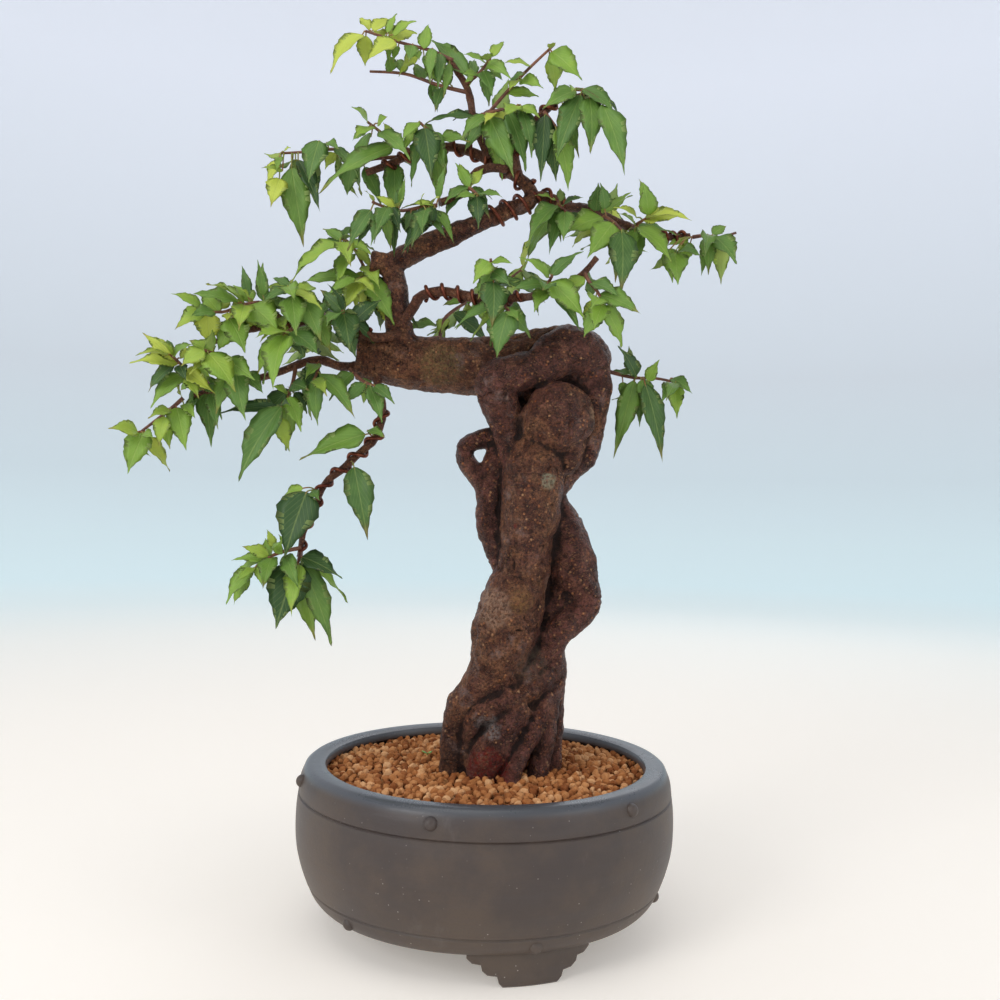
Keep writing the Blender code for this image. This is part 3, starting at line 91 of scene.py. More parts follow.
class Signal:
    def __init__(self, graph, socket):
        self.graph = graph
        self.socket = socket

    def reckon(self, operation, first, second):
        return self.graph.node("ShaderNodeMath", {"operation": operation}, {0: first, 1: second})

    def __add__(self, other):
        return self.reckon("ADD", self, other)

    def __radd__(self, other):
        return self.reckon("ADD", other, self)

    def __sub__(self, other):
        return self.reckon("SUBTRACT", self, other)

    def __rsub__(self, other):
        return self.reckon("SUBTRACT", other, self)

    def __mul__(self, other):
        return self.reckon("MULTIPLY", self, other)

    def __truediv__(self, other):
        return self.reckon("DIVIDE", self, other)

    def __abs__(self):
        return self.reckon("ABSOLUTE", self, 0.0)

    def part(self):
        return self.reckon("FRACT", self, 0.0)

    def rise(self, low, high):
        # 0 below low and 1 above high, with a soft step between
        return self.graph.node("ShaderNodeMapRange", {"interpolation_type": "SMOOTHSTEP"},
                               {"Value": self, "From Min": low, "From Max": high})

    def fall(self, low, high):
        return 1.0 - self.rise(low, high)


class Paint(Graph):
    def __init__(self, name, finish):
        self.material = bpy.data.materials.new(name)
        self.material.use_nodes = True
        super().__init__(self.material.node_tree)
        self.shader = self.tree.nodes["Principled BSDF"]
        for socket, value in finish.items():
            self.shader.inputs[socket].default_value = value
        self.where = self.node("ShaderNodeTexCoord", {}, {}, "Object")

    def feed(self, socket, signal):
        self.tree.links.new(signal.socket, self.shader.inputs[socket])

    def cloud(self, scale, detail=3.0, rough=0.55, at=None):
        return self.node("ShaderNodeTexNoise", {}, {"Vector": at or self.where, "Scale": scale,
                                                    "Detail": detail, "Roughness": rough})

    def cells(self, scale, output="Distance"):
        return self.node("ShaderNodeTexVoronoi", {}, {"Vector": self.where, "Scale": scale}, output)

    def read(self, name):
        return self.node("ShaderNodeAttribute", {"attribute_name": name}, {}, "Fac")

    def stretched(self, x, y, z):
        return self.node("ShaderNodeMapping", {}, {"Vector": self.where, "Scale": (x, y, z)})

    def height(self):
        return self.node("ShaderNodeSeparateXYZ", {}, {0: self.where}, "Z")

    def mix(self, factor, first, second):
        return self.node("ShaderNodeMix", {"data_type": "RGBA"}, {0: factor, 6: first, 7: second}, 2)

    def spot(self, centre, radius):
        # a patch with a ragged edge round one place of the piece
        ragged = 1.4
        away = self.node("ShaderNodeVectorMath", {"operation": "DISTANCE"},
                         {0: self.where, 1: placed(*centre)}, "Value")
        away = away / (radius * mm) + (self.cloud(260, 4, 0.7) - 0.5) * ragged
        return away.fall(0.75, 1.1)

    def bump(self, signal, strength, distance):
        raised = self.node("ShaderNodeBump", {}, {"Strength": strength, "Distance": distance,
                                                  "Height": signal}, "Normal")
        self.feed("Normal", raised)


def meshObject(name, mesh):
    made = bpy.data.objects.new(name, mesh)
    bpy.context.scene.collection.objects.link(made)
    return made


def fromShape(name, shape):
    mesh = bpy.data.meshes.new(name)
    bmesh.ops.recalc_face_normals(shape, faces=shape.faces)
    shape.to_mesh(mesh)
    shape.free()
    mesh.shade_smooth()
    return meshObject(name, mesh)


def bake(piece):
    # keeps what the modifiers make as the piece's plain mesh
    graph = bpy.context.evaluated_depsgraph_get()
    mesh = bpy.data.meshes.new_from_object(piece.evaluated_get(graph), preserve_all_data_layers=True,
                                           depsgraph=graph)
    piece.modifiers.clear()
    piece.data = mesh


def settle(piece, nodes=()):
    # hands a finished piece over, in place of the named nodes
    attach(piece, "root")
    if nodes:
        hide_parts(*nodes)


def smoothPath(rows, spacing):
    # points at about the given spacing on a smooth line through the rows, every column blended
    ends = [rows[0]] + list(rows) + [rows[-1]]
    made = []
    for before, start, end, after in zip(ends, ends[1:], ends[2:], ends[3:]):
        count = max(1, round((Vector(end[:3]) - Vector(start[:3])).length / spacing))
        for step in range(count):
            t = step / count
            made.append(tuple(
                0.5 * (2 * p1 + (p2 - p0) * t + (2 * p0 - 5 * p1 + 4 * p2 - p3) * t**2
                       + (3 * p1 - p0 - 3 * p2 + p3) * t**3)
                for p0, p1, p2, p3 in zip(before, start, end, after)))
    made.append(tuple(rows[-1]))
    return made


def tubes(name, paths, resolution):
    # one mesh of capped tubes, each through (x, y, z, radius) rows
    curve = bpy.data.curves.new(name, "CURVE")
    curve.dimensions = "3D"
    curve.bevel_depth = mm
    curve.bevel_resolution = resolution
    curve.use_fill_caps = True
    for rows in paths:
        spline = curve.splines.new("POLY")
        spline.points.add(len(rows) - 1)
        for point, (x, y, z, radius) in zip(spline.points, rows):
            point.co = placed(x, y, z).to_tuple() + (1,)
            point.radius = radius
    guide = meshObject(name + "_guide", curve)
    graph = bpy.context.evaluated_depsgraph_get()
    mesh = bpy.data.meshes.new_from_object(guide.evaluated_get(graph))
    bpy.data.objects.remove(guide, do_unlink=True)
    shape = bmesh.new()
    shape.from_mesh(mesh)
    bmesh.ops.remove_doubles(shape, verts=shape.verts, dist=1e-6)
    return fromShape(name, shape)


def inputKey(tree, name):
    return next(item.identifier for item in tree.interface.items_tree if item.name == name)


def geometryTree(name, inputs):
    # a Geometry Nodes tree with named inputs, and signals for each of them
    tree = bpy.data.node_groups.new(name, "GeometryNodeTree")
    tree.interface.new_socket("Geometry", in_out="INPUT", socket_type="NodeSocketGeometry")
    for label, kind in inputs.items():
        tree.interface.new_socket(label, in_out="INPUT", socket_type="NodeSocket" + kind)
    tree.interface.new_socket("Result", in_out="OUTPUT", socket_type="NodeSocketGeometry")
    graph = Graph(tree)
    source = tree.nodes.new("NodeGroupInput")
    signals = {label: Signal(graph, source.outputs[label]) for label in ["Geometry", *inputs]}
    return graph, signals


def endTree(graph, instances, finish):
    real = graph.node("GeometryNodeRealizeInstances", {}, {0: instances})
    painted = graph.node("GeometryNodeSetMaterial", {}, {"Geometry": real, "Material": finish})
    end = graph.tree.nodes.new("NodeGroupOutput")
    graph.tree.links.new(painted.socket, end.inputs[0])


def grow(piece, tree, values):
    # runs a tree on a piece and keeps its result as a plain mesh
    step = piece.modifiers.new("grow", "NODES")
    step.node_group = tree
    for label, value in values.items():
        step[inputKey(tree, label)] = value
    bake(piece)


def library(name, meshes):
    # hidden shapes that a tree picks its instances from
    found = bpy.data.collections.new(name)
    for number, mesh in enumerate(meshes):
        found.objects.link(bpy.data.objects.new(f"{name}{number:02d}", mesh))
    return found


# The camera stands in front, level with the middle of the tree, turned a little as it was held.
view = {"place": (6, -716, 279.5), "lens": 38.34, "sensor": 36, "roll": 0.02}


def makeCamera():
    camera = bpy.data.cameras.new("camera")
    camera.lens = view["lens"]
    camera.sensor_width = view["sensor"]
    holder = bpy.data.objects.new("camera", camera)
    bpy.context.scene.collection.objects.link(holder)
    turn = Matrix.Rotation(math.pi / 2, 4, "X") @ Matrix.Rotation(view["roll"], 4, "Z")
    holder.matrix_world = Matrix.Translation(placed(*view["place"])) @ turn
    bpy.context.scene.camera = holder


# A pale floor that bends up into a wall all round, in metres
studio = {
    "floorRadius": 2.2, "wallRadius": 3.0, "wallHeight": 3.2,
    "world": tint(243, 241, 238), "worldStrength": 0.42, "paperPaintedGlow": 0.3,
    "bendSteps": 8, "turnSteps": 72, "aim": (0, 0, 0.3),
    "backdrop": [(0.0, tint(238, 232, 224)), (0.05, tint(233, 233, 228)), (0.12, tint(216, 233, 236)),
                 (0.28, tint(205, 216, 221)), (0.45, tint(205, 210, 216)), (0.95, tint(226, 229, 238))],
    "lights": {  # place, size, watts, colour
        "overhead": ((-0.25, -0.55, 1.75), 1.2, 6.5, (1.0, 0.99, 0.97)),
        "window": ((-1.3, -1.4, 1.1), 0.8, 12, (1.0, 0.99, 0.97)),
        "reflector": ((1.6, -0.9, 0.8), 1.0, 4.5, (1.0, 0.98, 0.95)),
        "behind": ((0.5, 1.6, 1.2), 1.2, 3, (1.0, 1.0, 1.0)),
    },
}


def makeStudio():
    rows = [(0, 0, 0)] + [(studio["floorRadius"] * share, 0, 0) for share in (0.15, 0.4, 1)]
    bend = studio["wallRadius"] - studio["floorRadius"]
    for step in range(1, studio["bendSteps"] + 1):
        turn = math.pi / 2 * step / studio["bendSteps"]
        rows.append((studio["floorRadius"] + bend * math.sin(turn), 0, bend * (1 - math.cos(turn))))
    rows.append((studio["wallRadius"], 0, studio["wallHeight"]))
    shape = bmesh.new()
    points = [shape.verts.new(row) for row in rows]
    edges = [shape.edges.new(pair) for pair in zip(points, points[1:])]
    bmesh.ops.spin(shape, geom=points + edges, cent=(0, 0, 0), axis=(0, 0, 1), angle=math.tau,
                   steps=studio["turnSteps"], use_merge=True)
    bmesh.ops.remove_doubles(shape, verts=shape.verts, dist=1e-4)
    floor = fromShape("studio_floor", shape)
    # the paper glows with its own graded colour: painted light on the floor and wall that no lamp gives
    paint = Paint("floorPaper", {"Roughness": 0.9, "Specular IOR Level": 0.2,
                                 "Emission Strength": studio["paperPaintedGlow"]})
    away = paint.node("ShaderNodeVectorMath", {"operation": "LENGTH"}, {0: paint.where}, "Value")
    climb = paint.height() * 0.5 + away.rise(0.5, 2.6) * 0.1
    colour = paint.node("ShaderNodeValToRGB", {"stops": studio["backdrop"]}, {0: climb})
    paint.feed("Base Color", colour)
    paint.feed("Emission Color", colour)
    floor.data.materials.append(paint.material)
    world = bpy.data.worlds.new("studio")
    world.use_nodes = True
    back = world.node_tree.nodes["Background"]
    back.inputs["Color"].default_value = studio["world"]
    back.inputs["Strength"].default_value = studio["worldStrength"]
    bpy.context.scene.world = world
    for name, (place, size, watts, colour) in studio["lights"].items():
        lamp = bpy.data.lights.new(name, "AREA")
        lamp.size = size
        lamp.energy = watts
        lamp.color = colour
        holder = bpy.data.objects.new(name, lamp)
        bpy.context.scene.collection.objects.link(holder)
        holder.location = place
        aim = Vector(studio["aim"]) - Vector(place)
        holder.rotation_euler = aim.to_track_quat("-Z", "Y").to_euler()


bpy.context.scene.view_settings.view_transform = "Standard"
makeCamera()
makeStudio()
print("camera, floor and lights are in place")

pot = {
    "height": 106, "belly": 125, "wall": 8, "lipWidth": 14,
    "footHeight": 19, "footWidth": 76, "footDepth": 15, "footCount": 3, "footAngle": 16,
    "studRadius": 4.2, "studCount": 6, "upperStudAngle": -14, "lowerStudAngle": 16,
    "drainRadius": 13, "turnSteps": 160,
    "upperStudInset": 3.4, "upperStudDrop": 9, "lowerStudInset": 12, "lowerStudRise": 6.5,
    "clay": tint(67, 57, 54), "clayWarm": tint(84, 70, 60), "rimPaintedSheen": tint(78, 83, 90),
    "turned": tint(76, 70, 70), "grain": tint(64, 58, 57), "dust": tint(112, 98, 84),
    "mineral": tint(136, 130, 126), "speck": tint(186, 178, 170),
}
lipRadius = pot["belly"] - 5.5 - pot["lipWidth"]


def potOutside():
    # (radius, height) stretches from the inner lip down to the base, with a corner where two meet
    r, top, base = pot["belly"], pot["height"], pot["footHeight"]
    rim = [(lipRadius, top - 3.2), (lipRadius + 1.1, top - 1.2), (lipRadius + 4, top - 0.2),
           (r - 11, top), (r - 7.5, top - 0.4), (r - 5.5, top - 2), (r - 4.4, top - 4.6),
           (r - 2.4, top - 10), (r - 1.5, top - 17.2)]
    groove = [(r - 1.5, top - 17.2), (r - 2.4, top - 18.2), (r - 1.3, top - 19.2)]
    body = [(r - 1.3, top - 19.2), (r - 0.3, top - 28), (r, top - 40), (r - 0.8, base + 35),
            (r - 3.6, base + 23), (r - 7, base + 13.4)]
    lowGroove = [(r - 7, base + 13.4), (r - 8.6, base + 12.2), (r - 8.2, base + 11)]
    under = [(r - 8.2, base + 11), (r - 10.5, base + 6), (r - 14.5, base + 1.4), (r - 19, base)]
    return [rim, groove, body, lowGroove, under]


def potInside():
    # (radius, height) points from the floor up to the inner lip
    r, top = pot["belly"] - pot["wall"], pot["height"]
    floor = pot["footHeight"] + pot["wall"]
    return [(r - 20, floor), (r - 10, floor + 5), (r - 3.5, floor + 17), (r, top - 40),
            (r - 0.6, top - 20), (r - 3.6, top - 13), (lipRadius + 2, top - 8.5), (lipRadius, top - 6)]


def turnedPiece(name, outline, steps):
    # turns (radius, height) points about the pot's axis into a closed solid
    shape = bmesh.new()
    points = [shape.verts.new((radius * mm, 0, height * mm)) for radius, height in outline]
    edges = [shape.edges.new(pair) for pair in zip(points, points[1:])]
    if outline[0][0] > 0:
        edges.append(shape.edges.new((points[-1], points[0])))
    bmesh.ops.spin(shape, geom=points + edges, cent=(0, 0, 0), axis=(0, 0, 1), angle=math.tau,
                   steps=steps, use_merge=True)
    bmesh.ops.remove_doubles(shape, verts=shape.verts, dist=2e-6)
    bmesh.ops.translate(shape, vec=(axisX, axisY, 0), verts=shape.verts)
    return fromShape(name, shape)


def smoothOutline(points, spacing):
    return [(row[0], row[2]) for row in smoothPath([(radius, 0, height) for radius, height in points],
                                                   spacing)]


def around(radius, degrees, height):
    turn = math.radians(degrees)
    return placed(radius * math.sin(turn), -radius * math.cos(turn), height)


def cloudFoot(index):
    # a stepped foot, bent round the pot under its belly
    half, high = pot["footWidth"] / 2, pot["footHeight"]
    outer = pot["belly"] - 17.5
    middle = pot["footAngle"] + index * 360 / pot["footCount"]
    steps = [(0, 0), (half * 0.44, 0), (half * 0.5, high * 0.12), (half * 0.53, high * 0.33),
             (half * 0.68, high * 0.37), (half * 0.76, high * 0.5), (half * 0.78, high * 0.68),
             (half * 0.92, high * 0.72), (half, high * 0.86), (half, high * 1.1)]
    right = []
    for start, end in zip(steps, steps[1:]):
        count = max(1, round((end[0] - start[0]) / 3))
        right += [(start[0] + (end[0] - start[0]) * step / count,
                   start[1] + (end[1] - start[1]) * step / count) for step in range(count)]
    right.append(steps[-1])
    edge = [(-x, z) for x, z in reversed(right[1:])] + right
    top = high + 3
    shape = bmesh.new()
    rings = []
    for x, z in edge:
        angle = middle + math.degrees(x / outer)
        section = [(outer - 1.2, z), (outer, z + 1.2), (outer + 1, top), (outer - pot["footDepth"], top),
                   (outer - pot["footDepth"], z)]
        rings.append([shape.verts.new(around(radius, angle, height)) for radius, height in section])
    for ring, following in zip(rings, rings[1:]):
        for side in range(len(ring)):
            shape.faces.new((ring[side], ring[side - 1], following[side - 1], following[side]))
    shape.faces.new(rings[0])
    shape.faces.new(reversed(rings[-1]))
    return fromShape("foot", shape)


def ballAt(centre, radius):
    shape = bmesh.new()
    bmesh.ops.create_uvsphere(shape, u_segments=24, v_segments=14, radius=radius * mm)
    bmesh.ops.translate(shape, vec=centre, verts=shape.verts)
    return fromShape("stud", shape)


def cutOrJoin(target, tools, operation):
    group = bpy.data.collections.new("operands")
    for tool in tools:
        bpy.context.scene.collection.objects.unlink(tool)
        group.objects.link(tool)
    step = target.modifiers.new("boolean", "BOOLEAN")
    step.operation = operation
    step.operand_type = "COLLECTION"
    step.collection = group
    step.solver = "EXACT"
    bake(target)
    for tool in tools:
        bpy.data.objects.remove(tool, do_unlink=True)
    bpy.data.collections.remove(group)


def stonewarePaint():
    paint = Paint("stoneware", {"Roughness": 0.5, "Specular IOR Level": 0.45})
    up = paint.height()
    lip = up.rise((pot["height"] - 7) * mm, (pot["height"] - 1.5) * mm)
    broad = paint.cloud(22, 4, 0.6)
    turned = paint.cloud(9, 3, 0.6, paint.stretched(1, 1, 14))
    grain = paint.cloud(900, 2, 0.5)
    body = paint.mix(broad.rise(0.35, 0.7), pot["clay"], pot["clayWarm"])
    body = paint.mix(turned.rise(0.4, 0.75) * 0.25, body, pot["turned"])
    body = paint.mix(grain.rise(0.45, 0.8) * 0.3, body, pot["grain"])
    # the lip is tinted bluish: a painted reflection of the pale backdrop on the smooth lip
    body = paint.mix(lip * 0.8, body, pot["rimPaintedSheen"])
    low = up.fall(0.02, 0.075)
    specks = paint.cells(210).fall(0.05, 0.1) * paint.cloud(60, 2).rise(0.42, 0.62)
    body = paint.mix(specks * (0.35 + low * 0.5), body, pot["speck"])
    smear = paint.cloud(30, 6, 0.75, paint.stretched(1, 1, 0.35)).rise(0.6, 0.8)
    scratch = paint.cloud(45, 7, 0.85, paint.stretched(2.2, 2.2, 0.5)).rise(0.69, 0.75)
    body = paint.mix((smear * 0.2 + scratch * 0.35) * (1.0 - lip * 0.5), body, pot["mineral"])
    paint.feed("Base Color", paint.mix(low * 0.12, body, pot["dust"]))
    paint.feed("Roughness", 0.46 + (broad - 0.5) * 0.16 + grain * 0.05 - lip * 0.2)
    paint.bump(grain * 0.3 + turned * 1.2 + paint.cloud(160, 3) * 0.5, 0.35, 0.0006)
    return paint.material


def makePot():
    floor = pot["footHeight"] + pot["wall"]
    outside = []
    for stretch in potOutside():
        outside += smoothOutline(stretch, 2.2)[(1 if outside else 0):]
    outline = [(0, floor)] + smoothOutline(potInside(), 4) + outside + [(0, pot["footHeight"])]
    piece = turnedPiece("stoneware_pot", outline, pot["turnSteps"])
    tools = [cloudFoot(index) for index in range(pot["footCount"])]
    for index in range(pot["studCount"]):
        turn = 360 / pot["studCount"] * index
        upper = around(pot["belly"] - pot["upperStudInset"], pot["upperStudAngle"] + turn,
                       pot["height"] - pot["upperStudDrop"])
        lower = around(pot["belly"] - pot["lowerStudInset"], pot["lowerStudAngle"] + turn,
                       pot["footHeight"] + pot["lowerStudRise"])
        tools += [ballAt(upper, pot["studRadius"]), ballAt(lower, pot["studRadius"])]
    cutOrJoin(piece, tools, "UNION")
    shape = bmesh.new()
    bmesh.ops.create_cone(shape, cap_ends=True, segments=48, radius1=pot["drainRadius"] * mm,
                          radius2=pot["drainRadius"] * mm, depth=(pot["wall"] + 4) * mm)
    bmesh.ops.translate(shape, vec=placed(0, 0, pot["footHeight"] + pot["wall"] / 2), verts=shape.verts)
    cutOrJoin(piece, [fromShape("drain", shape)], "DIFFERENCE")
    piece.data.shade_smooth()
    piece.data.set_sharp_from_angle(angle=math.radians(38))
    piece.data.materials.clear()
    piece.data.materials.append(stonewarePaint())
    settle(piece, ["pot"])


makePot()
print("the pot is turned")

soil = {
    "belowRim": 8.5, "mound": 5.5, "bedDrop": 3.2,
    "grainSize": 5.8,
    # spacing, depth and seed of each layer of grains
    "layers": {"soil_top_grains": (4.3, -0.4, 11), "soil_lower_grains": (4.6, -2.6, 23)},
    "grainShapes": 7, "grainCuts": 11, "grainLumps": 0.22, "cutReach": (0.32, 0.44),
    "sizeSpread": (0.72, 1.22), "lift": (-0.0011, 0.0009), "mostPerSquareMetre": 600000.0,
    "moundRadius": 112, "ringSteps": 48,
    "pale": tint(222, 172, 124), "light": tint(200, 142, 92), "middle": tint(176, 114, 66),
    "deep": tint(132, 76, 40), "shade": tint(54, 24, 10),
}


def soilHeight(radius):
    top = pot["height"] - soil["belowRim"]
    return top + soil["mound"] * max(0.0, 1 - (radius / soil["moundRadius"]) ** 1.6)


def grainMesh(number):
    # a lumpy ball with its sides cut flat
    chance = random.Random(number)
    shape = bmesh.new()
    bmesh.ops.create_icosphere(shape, subdivisions=2, radius=0.5)
    for point in shape.verts:
        point.co *= 1 + soil["grainLumps"] * noise.noise(point.co * 2.3 + Vector((number * 5, 0, 0)))
    for _ in range(soil["grainCuts"]):
        facing = Vector([chance.gauss(0, 1) for _ in range(3)]).normalized()
        reach = chance.uniform(*soil["cutReach"])
        for point in shape.verts:
            over = point.co.dot(facing) - reach
            if over > 0:
                point.co -= facing * over
    bmesh.ops.scale(shape, vec=(1, chance.uniform(0.75, 1), chance.uniform(0.7, 0.95)), verts=shape.verts)
    mesh = bpy.data.meshes.new("grain")
    shape.to_mesh(mesh)
    shape.free()
    mesh.shade_smooth()
    mesh.set_sharp_from_angle(angle=math.radians(28))
    return mesh


def grainTree():
    graph, given = geometryTree("scatterGrains", {
        "Shapes": "Collection", "Finish": "Material", "Spacing": "Float", "Seed": "Int",
        "Size": "Float", "Depth": "Float"})
    points = graph.node("GeometryNodeDistributePointsOnFaces", {"distribute_method": "POISSON"},
                        {"Mesh": given["Geometry"], "Distance Min": given["Spacing"],
                         "Density Max": soil["mostPerSquareMetre"], "Seed": given["Seed"]})
    tone = graph.node("FunctionNodeRandomValue", {"data_type": "FLOAT"}, {"Seed": 3}, 1)
    points = graph.node("GeometryNodeStoreNamedAttribute", {"data_type": "FLOAT", "domain": "POINT"},
                        {"Geometry": points, "Name": "grainTone", "Value": tone})
    jitter = graph.node("FunctionNodeRandomValue", {"data_type": "FLOAT"},
                        {2: soil["lift"][0], 3: soil["lift"][1], "Seed": 5}, 1)
    lift = graph.node("ShaderNodeCombineXYZ", {}, {"Z": jitter + given["Depth"]})
    points = graph.node("GeometryNodeSetPosition", {}, {"Geometry": points, "Offset": lift})
    shapes = graph.node("GeometryNodeCollectionInfo", {}, {"Collection": given["Shapes"],
                                                            "Separate Children": True,
                                                            "Reset Children": True})
    turn = graph.node("FunctionNodeRandomValue", {"data_type": "FLOAT_VECTOR"},
                      {0: (0, 0, 0), 1: (6.283, 6.283, 6.283), "Seed": 7})
    spin = graph.node("FunctionNodeEulerToRotation", {}, {0: turn})
    size = graph.node("FunctionNodeRandomValue", {"data_type": "FLOAT"},
                      {2: soil["sizeSpread"][0], 3: soil["sizeSpread"][1], "Seed": 9}, 1) * given["Size"]
    grains = graph.node("GeometryNodeInstanceOnPoints", {}, {
        "Points": points, "Instance": shapes, "Pick Instance": True, "Rotation": spin,
        "Scale": graph.node("ShaderNodeCombineXYZ", {}, {"X": size, "Y": size, "Z": size})})
    endTree(graph, grains, given["Finish"])
    return graph.tree


def grainPaint():
    paint = Paint("akadamaGrains", {"Roughness": 0.92, "Specular IOR Level": 0.2})
    tone = paint.read("grainTone")
    fine = paint.cloud(500, 4, 0.65)
    colour = paint.node("ShaderNodeValToRGB", {"stops": [
        (0.0, soil["deep"]), (0.4, soil["middle"]), (0.8, soil["light"]), (1.0, soil["pale"])]},
        {0: tone + (fine - 0.5) * 0.5})
    # painted shade: grains lying lower, under the top layer and down towards the wall, are darkened towards
    # the shade colour
    shade = paint.height().fall((pot["height"] - 12.5) * mm, (pot["height"] - 7) * mm)
    damp = paint.cloud(26, 3).rise(0.45, 0.68)
    colour = paint.mix(damp * 0.3, colour, soil["deep"])
    paint.feed("Base Color", paint.mix(shade * 0.5, colour, soil["shade"]))
    paint.bump(fine + paint.cloud(1500, 2) * 0.5, 0.5, 0.0004)
    return paint.material


def makeSoil():
    floor = pot["footHeight"] + pot["wall"] + 0.35
    inner = [(radius - 0.7, max(height, floor)) for radius, height in potInside()
             if height < pot["height"] - soil["belowRim"] - 5]
    edge = inner[-1][0] - 4
    surface = [(edge * share, soilHeight(edge * share) - soil["bedDrop"])
               for share in (1, 0.9, 0.75, 0.6, 0.45, 0.3, 0.15, 0)]
    bed = turnedPiece("soil_bed", [(0, floor)] + smoothOutline(inner, 5) + surface, 72)
    # The bed under the grains is painted dark, between the deep and shade colours: painted shade in the gaps
    # between grains.
    bedPaint = Paint("akadamaBed", {"Roughness": 0.95, "Specular IOR Level": 0.15})
    bedPaint.feed("Base Color", bedPaint.mix(bedPaint.cells(190).rise(0.1, 0.6), soil["deep"],
                                             soil["shade"]))
    bedPaint.bump(bedPaint.cells(190), 0.8, 0.002)
    bed.data.materials.append(bedPaint.material)
    settle(bed, ["soil"])
    shapes = library("grains", [grainMesh(number) for number in range(soil["grainShapes"])])
    tree = grainTree()
    paint = grainPaint()
    steps = soil["ringSteps"]
    for name, (spacing, depth, seed) in soil["layers"].items():
        shape = bmesh.new()
        rings = []
        for share in (0.06, 0.2, 0.35, 0.5, 0.65, 0.8, 0.92, 1):
            radius = (lipRadius + 0.5) * share
            rings.append([shape.verts.new(placed(radius * math.cos(turn), radius * math.sin(turn),
                                                 soilHeight(radius)))
                          for turn in [math.tau * step / steps for step in range(steps)]])
        for ring, wider in zip(rings, rings[1:]):
            for side in range(steps):
                shape.faces.new((ring[side - 1], wider[side - 1], wider[side], ring[side]))
        top = fromShape(name, shape)
        grow(top, tree, {"Shapes": shapes, "Finish": paint, "Spacing": spacing * mm, "Seed": seed,
                         "Size": soil["grainSize"] * mm, "Depth": depth * mm})
        settle(top)
        print(name, len(top.data.polygons), "faces")


makeSoil()
print("the soil is laid")

